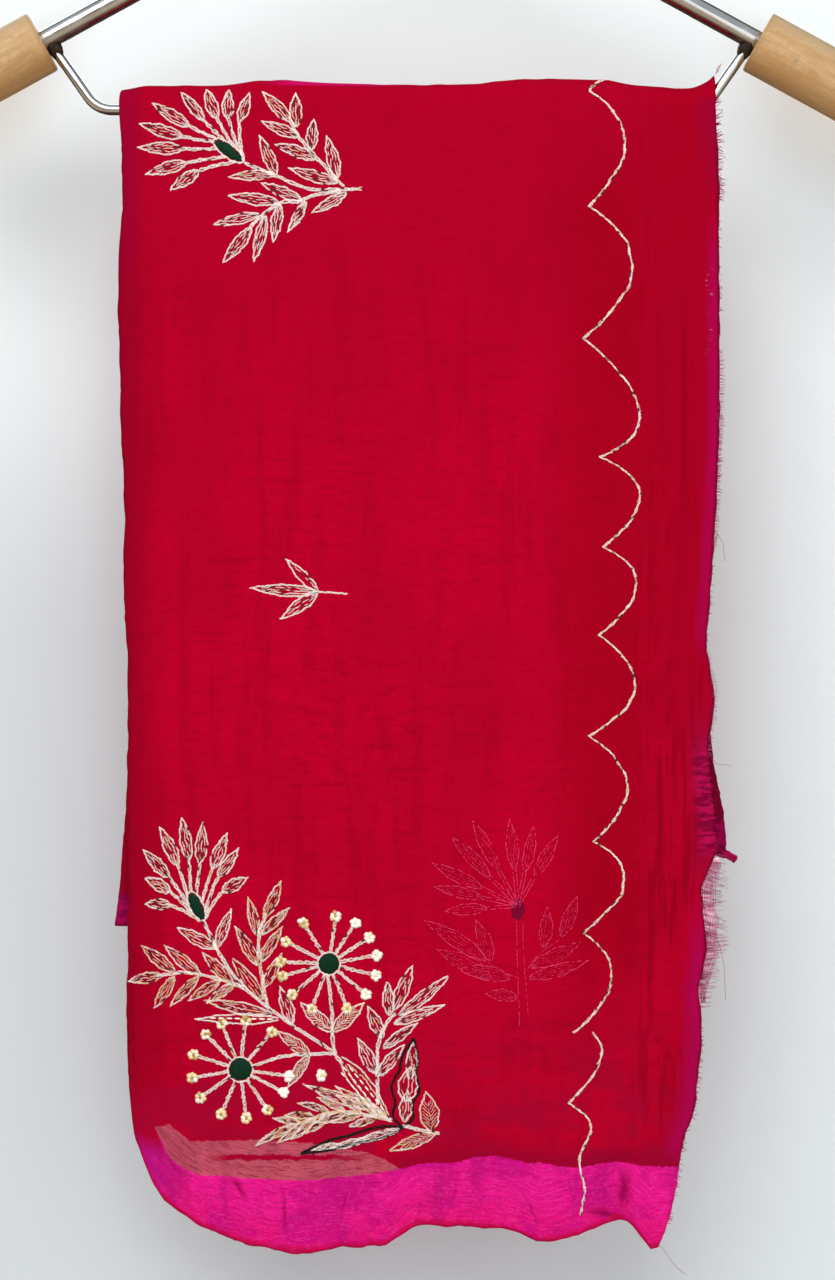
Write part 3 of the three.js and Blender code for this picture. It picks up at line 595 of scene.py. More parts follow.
def crimsonOf(place, x, drop, crinkle):
    # many layers: an even crimson with faint clouds, and painted shade in its crinkles, creases and folds
    many = mixed(lumpy(place, 60, (1, 1, 0.6), 3, 0.4, 0.72, 0.8), dyesAndShades["many"], dyesAndShades["deep"])
    puckered = times(within(x, -70, 30, 40, 40), within(drop, 235, 30, 335, 40))
    many = tinted(many, [
        # painted shade: darker in the crinkles, the long soft creases, the faint creases across and the
        # puckers
        (rangeOf(crinkle, 0.42, 0.72, 0.0, 0.28), dyesAndShades["dark"]),
        (lumpy(place, 7, (1, 1, 0.12), 3, 0.48, 0.7, 0.32), dyesAndShades["dark"]),
        (times(lumpy(place, 4, (1, 1, 0.08), 3, 0.5, 0.64, 0.75), ramp(x, 100, 120)), "860016"),
        (times(lumpy(place, 3.2, (0.1, 1, 1), 3, 0.5, 0.66, 0.3), lumpy(place, 34, (1, 1, 1), 2, 0.42, 0.6)),
         "9a001c"),
        (times(lumpy(place, 5, (0.5, 1, 1), 4, 0.56, 0.66, 0.35), puckered), dyesAndShades["dark"]),
        # painted shade: darker towards the top, near the right side, in a broad zone left of it and toward
        # the folded left edge
        (within(drop, -30, 1, 200, 185, 0.6), "a40024"),
        (times(ramp(x, 102, 124, 0.85), ramp(drop, 330, 240, 1.0, 0.35)), dyesAndShades["right"]),
        (times(within(x, 54, 40, 122, 20, 0.62), within(drop, 0, 50, 450, 90)), "9a0016"),
        (ramp(x, -116, -124, 0.8), dyesAndShades["leftEdge"]),
        (times(ramp(x, -104, -120, 0.5), within(drop, 30, 60, 350, 60)), "96001c"),
        (times(ramp(x, -98, -120, 0.7), within(drop, 270, 70, 470, 20)), "9a001e"),
        (times(ramp(drop, 405, 470, 0.75), lumpy(place, 22, (1, 1, 1.6), 3, 0.36, 0.62)), "a3062f")])

    # toward the cut edge: reach, soft part, most, then the stretch of drop with its rise and fall
    edge = curveOf(drop, frontSections["drop"], frontSections["right"], 110.0, 155.0, 0.0, 540.0)
    toEdge = less(edge, x)
    for reach, soft, most, low, rise, high, fall, tone in (
            (12, 10, 0.5, -4, 1, 60, 50, "8c0436"), (8.0, 5.0, 0.85, 42, 36, 262, 30, dyesAndShades["edge"]),
            (14, 9, 0.45, 262, 30, 366, 20, "920a36"), (6.0, 1.6, 0.85, 284, 16, 347, 8, "a40a3c"),
            (11, 8, 0.75, 356, 40, 492, 10, "ac0650"), (1.8, 1.2, 0.7, 8, 20, 500, 30, dyesAndShades["rim"])):
        edging = times(ramp(toEdge, reach, reach - soft, most), within(drop, low, rise, high, fall))
        many = mixed(edging, many, tone)
    # painted shade and light: the ruffle's folds dark and light in turn
    ruffled = times(within(toEdge, -1.5, 0.5, 10.5, 6), within(drop, 286, 18, 348, 5, 0.85))
    flecked = times(within(toEdge, 2.4, 1.2, 7.4, 1.6), within(drop, 72, 10, 124, 18))
    gathered = mixed(lumpy(place, 2.6, (0.35, 1, 1.3), 3, 0.4, 0.62), "bc0e50", "7a0430")
    return tinted(many, [
        (ruffled, gathered),
        (times(lumpy(place, 1.5, (0.6, 1, 1), 2, 0.62, 0.72, 0.5), flecked), "e07aa0"),
        (times(within(x, -66, 20, 10, 30), ramp(drop, -9.4, -11.0, 0.85)), "d4106a")])


def hemNoises(place, x, toHem):
    # fine lines along the hem, finer ones, and folds across it
    lined = addNode("CombineXYZ", times(x, 0.1), 0.0, strayed(toHem, place, 15, 5))
    upright = addNode("CombineXYZ", x, 0.0, times(toHem, 0.22))
    return noiseOf(lined, 1.3), noiseOf(lined, 0.7), noiseOf(upright, 11, (1, 1, 1), 3)


# painted crease shade strokes on the band: across, level, lean from upright in degrees, half width, half
# length, most
bandCreaseShades = [(-73.5, 499, 30, 2.0, 10, 0.9), (-54, 508, 5, 1.7, 15, 0.7), (-104, 488, 40, 1.6, 11, 0.6),
               (-26, 506, -12, 1.3, 10, 0.5), (24, 503, -20, 1.4, 10, 0.5), (60, 508, 24, 1.6, 11, 0.5),
               (103.5, 500, -4, 3.6, 13, 1.0), (95, 511, 66, 3.6, 10, 1.0)]


def bandOf(place, x, drop, toHem, lines, fine, folds):
    # two layers show below the hidden ones
    band = mixed(ramp(toHem, 20, 5, 0.7), dyesAndShades["band"], "ec1470")
    band = tinted(band, [
        # painted shade: darker in the soft folds
        (rangeOf(folds, 0.48, 0.7, 0.0, 0.7), "b80a66"),
        (lumpy(place, 15, (0.7, 1, 1), 4, 0.45, 0.62, 0.8), "cc0c80"),
        (rangeOf(lines, 0.48, 0.64, 0.0, 0.5), dyesAndShades["bandDark"]),
        (rangeOf(fine, 0.46, 0.6, 0.0, 0.45), dyesAndShades["bandDark"]),
        (rangeOf(fine, 0.42, 0.32, 0.0, 0.3), "ff3ba4"),
        (lumpy(place, 0.9, (0.6, 1, 1), 2, 0.5, 0.72, 0.2), "f858b0")])
    bent = strayed(less(x, 3 * mm), place, 6, 6, 2)
    # painted shade in each crease
    for across, level, lean, halfWide, halfLong, most in bandCreaseShades:
        slope, upright = math.tan(math.radians(lean)), math.cos(math.radians(lean))
        reach, width = halfLong * upright, halfWide / upright
        line = mathOf("ADD", bent, mathOf("MULTIPLY_ADD", drop, -slope, level * slope * mm))
        crease = times(within(line, across - width, width, across + width, width),
                       within(drop, level - reach, reach, level + reach, reach, most))
        band = mixed(crease, band, "a0064e")
    # painted shade toward the folded left edge, then a darker border along the hem
    return tinted(band, [(ramp(x, -96, -121, 0.8), dyesAndShades["bandPurple"]),
                         (ramp(strayed(toHem, place, 4, 5), 6.4, 3.4, 0.8), dyesAndShades["border"])])


def patchOf(place, x, raggedDrop, lines, fine, folds):
    # one layer shows low on the left
    # painted shade: darker in the soft folds
    patch = mixed(rangeOf(folds, 0.4, 0.7, 0.0, 0.6), dyesAndShades["patch"], "a83c54")
    creaseDrop = strayed(less(raggedDrop, 2 * mm), place, 9, 4, 2)
    return tinted(patch, [
        (rangeOf(fine, 0.5, 0.6, 0.0, 0.5), dyesAndShades["patchLine"]),
        (rangeOf(lines, 0.59, 0.66, 0.0, 0.6), "7c1030"),
        (lumpy(place, 0.5, (1, 1, 1), 1, 0.55, 0.75, 0.3), "e08a9c"),
        (times(within(creaseDrop, 483.2, 0.7, 486.4, 0.9), within(x, -92, 14, -4, 30)), "a6022e")])


def outerClothMaterial():
    material = clothMaterial("sheer_crepe_outer")
    place = objectPlace()
    x, y, z = partsOf(place)
    crinkle, height = crepeHeight(place)
    drop = less(bar["height"] * mm, z)
    raggedDrop = strayed(less(drop, 1.2 * mm), place, 2.4, 2.4)
    toHem = less(dropCurve(x, frontHem), drop)
    lines, fine, folds = hemNoises(place, x, toHem)
    many = crimsonOf(place, x, drop, crinkle)
    band = bandOf(place, x, drop, toHem, lines, fine, folds)
    patch = patchOf(place, x, raggedDrop, lines, fine, folds)

    # the band starts at the flap's top, but on the left it fades in along a slant
    flapDrop, patchDrop = dropCurve(x, flapTop), dropCurve(x, patchTop)
    isLeft = ramp(mathOf("MULTIPLY_ADD", raggedDrop, -0.425, x), -312.8, -313.6)
    softLeft = ramp(less(drop, mathOf("MULTIPLY_ADD", x, 0.35, 514 * mm)), -1, 13)
    belowFlap = mixed(isLeft, above(raggedDrop, flapDrop), softLeft)
    inPatch = times(above(raggedDrop, patchDrop, 0.3), within(x, -116.2, 0.5, 3, 2), less(1.0, isLeft))
    shade = times(ramp(less(drop, flapDrop), -13, -0.5, 0.7), ramp(x, -30, 0))
    many = mixed(shade, many, "96042c")
    shown = tinted(many, [(inPatch, patch), (belowFlap, band)])

    # the lower edge of the stretch behind
    nearBackHem = ramp(less(dropCurve(x, backHem, 330.0, 400.0), raggedDrop), 17, 12)
    # painted shade: darker in the crinkles
    behind = mixed(nearBackHem, many, mixed(rangeOf(crinkle, 0.4, 0.6), "b00a52", "8c0644"))
    isFront = mathOf("LESS_THAN", y, 0.0)
    setClothBase(mixed(isFront, behind, shown))
    thinOnes = times(isFront, mathOf("MAXIMUM", belowFlap, inPatch))
    bumpOf(mathOf("MULTIPLY_ADD", times(lines, thinOnes), 1.6, height), 0.4, 0.4)
    return material


def plainClothMaterial(name, light, dark, lump=12, strength=1.0):
    material = clothMaterial(name)
    place = objectPlace()
    bumpOf(crepeHeight(place)[1], 0.5 * strength, 0.4)
    setClothBase(mixed(lumpy(place, lump, (0.4, 1, 1), 4, 0.35, 0.7), light, dark))
    return material


def packMaterial():
    # folded edges of many layers: fine dark lines between them, painted shade in the gaps between the layers
    material = clothMaterial("folded_layers")
    place = objectPlace()
    bumpOf(crepeHeight(place)[1], 0.5, 0.4)
    setClothBase(mixed(lumpy(place, 0.8, (0.15, 1.6, 0.03), 2, 0.4, 0.62), "7c0024", "c00840"))
    return material


def weaveMaterial():
    material = clothMaterial("open_pale_weave")
    weft = noiseOf(objectPlace(), 0.7, (0.06, 1, 1))
    paintInto("Base Color", mixed(rangeOf(weft, 0.46, 0.64), "f4d0dc", "dc9cb6"))
    bumpOf(weft, 0.6, 0.3)
    return material


def threadMaterial(name, pale, warm, pink, dark, metallic, roughness, specular=0.5):
    # each stitch's tint picks its colour, and one above 1 is dark, painted shade between the raised threads
    material = newMaterial(name, roughness, specular, metallic)
    tint = addNode("Attribute", output=2, attribute_name="tint")
    shown = mixed(rangeOf(tint, 0.35, 0.65), pale, warm)
    shown = tinted(shown, [(rangeOf(tint, 0.72, 0.9), pink), (rangeOf(tint, 1.05, 1.1), dark)])
    paintInto("Base Color", shown)
    bumpOf(noiseOf(objectPlace(), 0.35, (1, 1, 1), 1), 0.5, 0.1)
    return material


def plainThread(name, light, dark, size=0.5, shine=0.25):
    material = newMaterial(name, 0.6, shine)
    grainy = noiseOf(objectPlace(), size, (1, 1, 0.4))
    paintInto("Base Color", mixed(grainy, dark, light))
    bumpOf(grainy, 0.7, 0.25)
    return material


def chromeMaterial():
    material = newMaterial("polished_steel", metallic=1.0)
    smudge = noiseOf(objectPlace(), 9, (1, 1, 1), 3)
    paintInto("Base Color", mixed(smudge, "b6b8ba", "cccdce"))
    paintInto("Roughness", rangeOf(smudge, 0.3, 0.8, 0.12, 0.3))
    return material


def woodMaterial():
    # grain runs along the sleeve, and its third part points up round it
    material = newMaterial("turned_beech", 0.5, 0.35)
    grain = addNode("Attribute", output=1, attribute_name="grain")

    def grained(scale, detail, roughness, squeeze=1):
        place = grain
        if squeeze != 1:
            place = addNode("VectorMath", grain, (squeeze, 1, 1), operation="MULTIPLY")
        return addNode("TexNoise", place, None, scale, detail, roughness)

    fine = grained(1500.0, 3.0, 0.6, 0.05)
    end, _, upward = partsOf(grain)
    base = mixed(rangeOf(grained(380.0, 4.0, 0.6, 0.12), 0.3, 0.7), "c6a478", "b48a58")
    paintInto("Base Color", tinted(base, [
        (rangeOf(fine, 0.5, 0.75, 0.0, 0.4), "98703f"),
        (rangeOf(grained(120.0, 4.0, 0.6), 0.45, 0.65, 0.0, 0.5), "b98e58"),
        (rangeOf(grained(420.0, 4.0, 0.65), 0.48, 0.64, 0.0, 0.4), "a2855c"),
        (rangeOf(grained(900.0, 2.0, 0.6), 0.68, 0.74, 0.0, 0.7), "6e5030"),
        # painted light on the upper side and painted shade on the lower side
        (ramp(upward, 2, 13, 0.6), "bba688"),
        (ramp(upward, 0, -13, 0.5), "b47c3c"),
        # a painted shade line on the bevel at the inner end
        (within(end, -34.4, 0.5, -33.2, 0.5, 0.4), "94744c")]))
    bumpOf(fine, 0.3, 0.2)
    return material


outerCloth = outerClothMaterial()
magentaCloth = plainClothMaterial("two_sheer_layers", dyesAndShades["band"], dyesAndShades["bandDark"], 9)
paleCloth = plainClothMaterial("frayed_single_layer", "d4749a", "9c2c5c", 3, 0.6)
cornerCloth = plainClothMaterial("twisted_corner_cloth", "b81252", "780838", 3)
hiddenCloth = plainClothMaterial("sheer_crepe_hidden", "b80028", "9c0020", 26)
spotCloth = plainClothMaterial("dark_spot", "7e0a30", "6a0826")
threadEnds = plainClothMaterial("loose_thread_ends", "c43a6a", "a01e50", 5, 0.6)
packCloth = packMaterial()
openWeave = weaveMaterial()
silver = threadMaterial("silver_and_zari_thread", "fff0ec", "f0d0a4", "e69cb0", "5c1a24", 0.06, 0.34)
sequin = threadMaterial("gold_and_silver_sequins", "fffaf0", "efd9a2", "b08f52", "6e3a34", 0.15, 0.25)
ghostThread = threadMaterial("thread_seen_through_cloth", "f2487c", "e03466", "c81c4a", "b01038", 0.0, 0.95,
                             0.03)
greenThread = plainThread("bottle_green_thread", "0c4028", "010c06", shine=0.08)
blackThread = plainThread("black_thread", "14191a", "020303")
weld = plainThread("dull_weld", "3a2c22", "0c0806", 1.6, 0.12)
chrome = chromeMaterial()
wood = woodMaterial()
print("materials made")


turning = np.linspace(-1, 0, cloth["turnRows"] + 1)
frontRows = np.concatenate([turning, spaced(cloth["frontRows"], [(0.46, 0.58, 1.6), (0.84, 1.1, 1.6)])[1:]])
backRows = np.concatenate([turning, spaced(cloth["backRows"], [(0.76, 1.1, 2.0)])[1:]])


def makeOuterLayer():
    shells = []
    for offset in (0.0, cloth["shell"]):
        over = outerGrid(front, frontRows, offset)[::-1]
        behind = outerGrid(back, backRows, offset)[1:]
        shells.append(np.concatenate([over, behind]))
    piece = closedMesh("saree_outer_layer", *shells)
    lookOf(piece, outerCloth, ["front_stretch_outer_layer", "back_stretch_outer_layer"])
    return piece


# how far the hidden layers stop short of the hem, and the creases of their folded rim
packs = {"columns": 64, "rimSteps": 24, "layers": 7, "rimDepth": 2.1, "frontShort": 4.5, "backShort": 7.0}


def makePack(name, fall, foot, rowCount, replaced):
    rows = np.concatenate([turning, np.linspace(0, 1, rowCount)[1:]])
    last = packs["columns"] - 1
    outer, inner, place, outerDepth = packGrid(fall, foot, rows, packs["columns"])
    steps = np.linspace(0, 1, packs["rimSteps"] + 2)[1:-1]
    reach = 0.25 + packs["rimDepth"] * np.abs(np.sin(packs["layers"] * math.pi * steps)) ** 0.7
    share = np.linspace(0, 1, packs["columns"])

    def rim(j, i):
        side = -0.5 if i == 0 else 1.0 if i == last else 0.0
        down = 1.0 if j == len(rows) - 1 else 0.0
        uneven = softNoise(steps * packs["layers"], j * 2.2 + i * 1.3, 1.0, 9.0, fall["seed"] + 5)
        out = reach * (0.62 + 0.38 * uneven)
        across, along = place(rows[j], np.full(len(steps), share[i]), side * out, down * out)
        high = outerDepth(*place(rows[j], share[i:i + 1]))
        low = 1.8 * (1 - ease(0.035, 0.06, share[i:i + 1]))
        return strip(fall, across, along, high + (low - high) * steps)

    piece = closedMesh(name, outer, inner, rim)
    lookOf(piece, hiddenCloth, [replaced])
    piece.data.materials.append(packCloth)
    for polygon in list(piece.data.polygons)[2 * (len(rows) - 1) * last:]:
        polygon.material_index = 1
    return piece


def makeHemFlap():
    share = np.linspace(0.16, 1, 110)
    hemAcross, hemDrop = hemAt(front, share)
    top = np.minimum(readTable(flapTop, "across", hemAcross, "drop"), hemDrop - 6)
    shells = []
    for offset in (0.0, cloth["shell"]):
        grid = []
        for step in np.concatenate([np.linspace(0, 1, 22), [1.02, 1.03]]):
            roll = ease(0.88, 1.03, step)
            drop = top + (hemDrop - 0.4 - top) * min(step, 1)
            right = edgeOf(front, drop, "right") - 1.2
            across = np.minimum(hemAcross + (right - hemAcross) * ease(0.9, 1, share), right)
            depth = bundleAt(front, across, drop) - 2.5 + roll * 1.9 - offset * (1 - 2 * roll)
            soft = 0.35 * softNoise(across, drop, 9, 14, 23)
            wave = soft * (1 - roll) + fineAt(front, across, drop) * roll
            grid.append(strip(front, across, drop + 0.3 * roll, depth, wave))
        shells.append(np.array(grid))
    piece = closedMesh("turned_up_hem_flap", *shells)
    lookOf(piece, magentaCloth, ["turned_up_hem"])
    return piece


tail = {"across": 145.0, "drop": 340.5, "reach": 12.4, "fall": 8.0, "thick": 1.8, "turns": 1.6,
        "rings": 40, "sides": 24}


def makeLooseCorner():
    # the back stretch's lower corner, twisted into a short tail
    t = np.linspace(0, 1, tail["rings"])[:, None]
    around = np.linspace(0, 2 * math.pi, tail["sides"] + 1)[None, :-1]
    lobes = 1 + 0.34 * np.cos(3 * around + 2 * math.pi * tail["turns"] * t) + 0.1 * np.cos(5 * around)
    thick = (1.15 - 0.55 * t + 0.35 * ease(0.78, 0.95, t)) * (0.1 + 0.9 * ease(0, 0.06, 1 - t))
    radius = tail["thick"] * thick * lobes
    x = tail["across"] + tail["reach"] * t + radius * np.cos(around) * 0.4
    y = slotHalf + 2.6 - 0.8 * np.sin(3 * t) + radius * np.sin(around)
    z = bar["height"] - tail["drop"] - tail["fall"] * np.sqrt(t) + radius * np.cos(around)
    rings = np.stack([x, y, z], axis=-1)
    index = np.arange(x.size).reshape(x.shape)
    follow = np.roll(index, -1, axis=1)
    first, last = np.full(tail["sides"], x.size), np.full(tail["sides"], x.size + 1)
    faces = np.concatenate([
        np.stack([index[:-1], follow[:-1], follow[1:], index[1:]], axis=-1).reshape(-1, 4),
        np.stack([follow[0], index[0], first, first], axis=-1),
        np.stack([index[-1], follow[-1], last, last], axis=-1)])
    points = np.concatenate([rings.reshape(-1, 3), rings[0].mean(0)[None], rings[-1].mean(0)[None]])
    return lookOf(makePiece("twisted_corner", points, faces), cornerCloth, ["loose_corner"])


outerLayer = makeOuterLayer()
makePack("front_hidden_layers", front, lambda x: lineAt(frontPackFoot, x) - packs["frontShort"], 150,
         "front_stretch_hidden_layers")
makePack("back_hidden_layers", back, lambda x: lineAt(backHem, x) - packs["backShort"], 90,
         "back_stretch_hidden_layers")
makeHemFlap()
makeLooseCorner()
print("cloth made")


def strands(roots, tips, bends, thick, tapering=0.6, steps=5):
    # three-sided tubes from roots to tips that bow sideways by bends
    points, faces = [], []
    t = np.linspace(0, 1, steps)
    angle = np.radians([90, 210, 330])
    for root, tip, bend in zip(roots, tips, bends):
        line = root + (tip - root) * t[:, None] + bend * np.sin(math.pi * t)[:, None] * np.array([0, 0.3, 1])
        along = tip - root
        along = along / (np.linalg.norm(along) + 1e-9)
        up = np.cross(along, [0, 1, 0])
        up = up / (np.linalg.norm(up) + 1e-9)
        out = np.cross(along, up)
        ring = np.cos(angle)[None, :, None] * up + np.sin(angle)[None, :, None] * out
        radius = thick / 2 * (1 - tapering * t)
        base = len(points) * 3 * steps
        points.append((line[:, None, :] + radius[:, None, None] * ring).reshape(-1, 3))
        for j in range(steps - 1):
            for k in range(3):
                a, b = base + 3 * j + k, base + 3 * j + (k + 1) % 3
                faces.append([a, b, b + 3, a + 3])
        end = base + 3 * (steps - 1)
        faces += [[base, base + 2, base + 1, base + 1], [end, end + 1, end + 2, end + 2]]
    return np.concatenate(points), faces


def joined(points, faces, more, moreFaces):
    return np.concatenate([points, more]), faces + [[f + len(points) for f in face] for face in moreFaces]


def selectOnly(piece):
    bpy.ops.object.select_all(action="DESELECT")
    piece.select_set(True)
    bpy.context.view_layer.objects.active = piece


def turnOutwards(piece, merge=False):
    selectOnly(piece)
    bpy.ops.object.mode_set(mode="EDIT")
    bpy.ops.mesh.select_all(action="SELECT")
    if merge:
        bpy.ops.mesh.remove_doubles(threshold=0.00001)
    bpy.ops.mesh.normals_make_consistent(inside=False)
    bpy.ops.object.mode_set(mode="OBJECT")


def strandPiece(name, points, faces, material, replaces=()):
    piece = makePiece(name, points, faces)
    turnOutwards(piece)
    return lookOf(piece, material, replaces)


def edgePoint(drop, outward=0.0, inward=0.5):
    # a place at the front stretch's cut edge, outward from it and inward from its face
    right = edgeOf(front, drop, "right")
    return strip(front, right + outward, drop, bundleAt(front, right, drop) - inward)


def makeFray(name, replaced, low, high, width, spacing, reach, seed):
    # cut threads standing out from the edge, over an open strip of weave where width is more than a thread
    random = np.random.default_rng(seed)
    drops = np.arange(low, high, spacing)
    drops = drops + random.uniform(-0.3, 0.3, len(drops))

    def belly(level):
        share = np.clip((level - low) / (high - low), 0, 1)
        uneven = 1 + 0.22 * waver(level, 6.0, seed + 20)
        return width * uneven * (0.35 + 0.65 * np.sin(math.pi * share**0.52) ** 0.8)

    tufts = 0.5 + 0.5 * waver(drops, 3.5, seed + 30)
    length = belly(drops) + reach * (0.25 + 0.75 * tufts) * random.uniform(0.5, 1.0, len(drops))
    droop = (random.uniform(-0.5, 1.0, len(drops)) + 1.4 * waver(drops, 5.0, seed + 31)) * length * 0.3
    tips = edgePoint(drops) + np.stack([length, random.uniform(-1.0, 1.0, len(drops)), -droop], axis=-1)
    bends = random.uniform(-1, 1, len(drops)) * length * 0.24
    points, faces = strands(edgePoint(drops, -1.6), tips, bends, 0.3)
    runs = int(width / 0.7)
    for k in range(runs):
        level = np.linspace(low + 1.5, high - 1.5, int((high - low) / 2.2))
        out = belly(level) * (k + 0.5) / runs + random.uniform(-0.14, 0.14, len(level))
        line = edgePoint(level) + np.stack([out, 0.2 * np.sin(level), 0 * level], axis=-1)
        crossing = strands(line[:-1], line[1:], np.zeros(len(level) - 1), 0.26, 0.0, 2)
        points, faces = joined(points, faces, *crossing)
    return strandPiece(name, points, faces, paleCloth, [replaced])


weave = {"from": 346.5, "to": 410.0, "width": 5.0, "thick": 0.16, "under": 2.0}


def makeOpenWeave():
    # the single pale layer that the lower fringe hangs from
    drops = np.linspace(weave["from"], weave["to"], 70)
    share = (drops - weave["from"]) / (weave["to"] - weave["from"])
    uneven = 1 + 0.16 * waver(drops, 3.0, 77)
    wide = weave["width"] * (0.3 + 0.7 * np.sin(math.pi * share**0.62) ** 0.8) * uneven
    outward = (wide + weave["under"])[:, None] * np.linspace(0, 1, 9) - weave["under"]
    shells = [edgePoint(drops[:, None], outward, 0.75 + offset) for offset in (0.0, weave["thick"])]
    return lookOf(closedMesh("open_weave_strip", *shells), openWeave)


# three places on each long loose thread, as across, Y and drop, then how far it bows
longThreads = [((116.2, -8.4, 524.5), (124.0, -7.5, 531.0), (132.3, -8.0, 539.0), 1.8),
               ((143.0, -9.6, 300.0), (148.6, -10.2, 303.8), (152.6, -9.4, 304.8), -1.2),
               ((145.4, -8.8, 381.0), (149.4, -8.6, 396.0), (150.2, -8.4, 412.0), 1.4),
               ((144.6, -10.0, 196.0), (148.8, -10.6, 202.0), (149.6, -10.4, 210.0), 1.0)]
longThreads += [((146.6 + k * 0.35, 0.0, -16.6 - 0.4 * k), (147.0 + k * 0.5, -0.3, -18.6 - 0.5 * k),
                 (147.2 + k * 0.8, -0.2, -20.4 - 0.4 * k), 0.3 - 0.2 * k) for k in range(4)]
strayStretches = [(1, 42, 95), (42, 112, 30), (130, 204, 60), (204, 252, 30), (300, 345, 30), (414, 520, 80)]


def makeStrayThreads():
    random = np.random.default_rng(15)
    drops = np.concatenate([random.uniform(*stretch) for stretch in strayStretches])
    count = len(drops)
    tufts = (drops < 42) * 2.2 + ((drops > 130) & (drops < 204)) * 0.8
    reach = random.uniform(0.2, 1.7, count) ** 1.2 + tufts * random.uniform(0.1, 1.0, count)
    aside = random.uniform(-0.6, 0.6, count)
    rise = random.uniform(-1.3, 0.9, count) * (0.5 + 0.5 * reach)
    tips = edgePoint(drops) + np.stack([reach, aside, rise], axis=-1)
    points, faces = strands(edgePoint(drops, -1.2), tips, random.uniform(-0.5, 0.5, count) * reach, 0.46)
    for *places, bend in longThreads:
        line = [np.array([x, y, bar["height"] - drop]) for x, y, drop in places]
        more = strands(line[:2], line[1:], [bend, -bend * 0.6], 0.22, 0.1, 8)
        points, faces = joined(points, faces, *more)
    return strandPiece("stray_threads", points, faces, threadEnds)


makeFray("frayed_threads_upper", "frayed_edge_upper", 112, 204, 0.6, 0.5, 2.6, 5)
makeFray("frayed_threads_middle", "frayed_edge_middle", 252, 300, 0.6, 0.55, 2.4, 6)
makeFray("frayed_threads_lower", "frayed_edge_lower", 347, 415, 6.6, 0.58, 6.2, 8)
makeOpenWeave()
makeStrayThreads()
print("threads made")


# embroidery: places are across and drop, and angles have 0 to the right and 90 up

stitch = {"long": 2.8, "wide": 0.6, "step": 2.05, "thread": 0.23, "leafHalf": 2.8, "petalHalf": 2.9,
          "sides": 8}


def loopOutline():
    # one chain stitch: a flat loop of thread lying on the cloth
    points = []
    for k in range(stitch["sides"]):
        a = 2 * math.pi * k / stitch["sides"]
        x, y = stitch["long"] / 2 * math.cos(a), stitch["wide"] / 2 * math.sin(a) * (1 + 0.2 * math.cos(a))
        out = np.array([math.cos(a) * stitch["wide"], math.sin(a) * stitch["long"]])
        out = out / np.linalg.norm(out) * stitch["thread"]
        points += [(x + out[0], y + out[1], 0.06), (x, y, 0.3 + 0.05 * math.cos(a)),
                   (x - out[0], y - out[1], 0.06)]
    return np.array(points)


loop = loopOutline()
loopStarts = [(3 * k, 3 * ((k + 1) % stitch["sides"])) for k in range(stitch["sides"])]
loopFaces = np.array([[a + s, a + (s + 1) % 3, b + (s + 1) % 3, b + s] for a,
                      b in loopStarts for s in range(3)])


def startWork(seed, gaps=0.0):
    # gaps is the share of stitches left out
    return {"plan": [], "heights": [], "tints": [], "random": np.random.default_rng(seed), "gaps": gaps}


def smoothPath(points, count=24):
    # an even line through points
    points = np.asarray(points, float)
    if len(points) < 3:
        return points[0] + (points[-1] - points[0]) * np.linspace(0, 1, count)[:, None]
    ends = np.concatenate([[2 * points[0] - points[1]], points, [2 * points[-1] - points[-2]]])
    line = []
    t = np.linspace(0, 1, 9)[:-1, None]
    for a, b, c, d in zip(ends, ends[1:], ends[2:], ends[3:]):
        square, cube = 2 * a - 5 * b + 4 * c - d, 3 * b - a - 3 * c + d
        line.append(0.5 * (2 * b + (c - a) * t + square * t**2 + cube * t**3))
    return np.concatenate(line + [points[-1:]])


def alongPath(path, step):
    path = np.asarray(path, float)
    run = runAlong(path)
    count = max(int(round(run[-1] / step)), 1)
    at = (np.arange(count) + 0.5) * run[-1] / count

    def read(where):
        return np.stack([np.interp(where, run, path[:, k]) for k in (0, 1)], axis=-1)

    ahead = read(at + 0.4) - read(at - 0.4)
    return read(at), ahead / np.maximum(np.linalg.norm(ahead, axis=-1, keepdims=True), 1e-6)


def chain(work, path, tint=0.2, size=1.0, wide=1.0, lift=0.0, dark=0.0):
    random = work["random"]
    place, ahead = alongPath(path, stitch["step"] * size)
    kept = random.uniform(0, 1, len(place)) >= work["gaps"]
    place, ahead = place[kept], ahead[kept]
    count = len(place)
    turn = np.radians(random.normal(0, 8, count))[:, None]
    beside = np.stack([-ahead[:, 1], ahead[:, 0]], axis=-1)
    c, s = np.cos(turn), np.sin(turn)
    ahead, beside = ahead * c + beside * s, beside * c - ahead * s
    grow = size * random.uniform(0.9, 1.12, count)[:, None, None]
    place = place + random.normal(0, 0.09 * size, (count, 2))
    work["plan"].append(place[:, None] + grow * (loop[None, :, :1] * ahead[:, None]
                                                 + wide * loop[None, :, 1:2] * beside[:, None]))
    work["heights"].append(loop[None, :, 2] * grow[..., 0] + lift + random.uniform(0, 0.08, count)[:, None])
    tints = np.clip(tint + random.normal(0, 0.17, count), 0, 1)
    # a share of dark stitches, given by dark, is painted shade among the threads
    work["tints"].append(np.repeat(np.where(random.uniform(0, 1, count) < dark, 1.2, tints), len(loop)))


def polar(centre, angle, reach):
    turn = math.radians(angle)
    return np.array([centre[0] + reach * math.cos(turn), centre[1] - reach * math.sin(turn)])


def ovalPlace(centre, lean, x, y):
    # x and y measured on axes that lean by an angle, clockwise
    c, s = math.cos(math.radians(lean)), math.sin(math.radians(lean))
    return np.stack([centre[0] + x * c - y * s, centre[1] + x * s + y * c], axis=-1)


def besideOf(base, tip):
    along = np.asarray(tip, float) - base
    return along, np.array([-along[1], along[0]]) / np.linalg.norm(along)


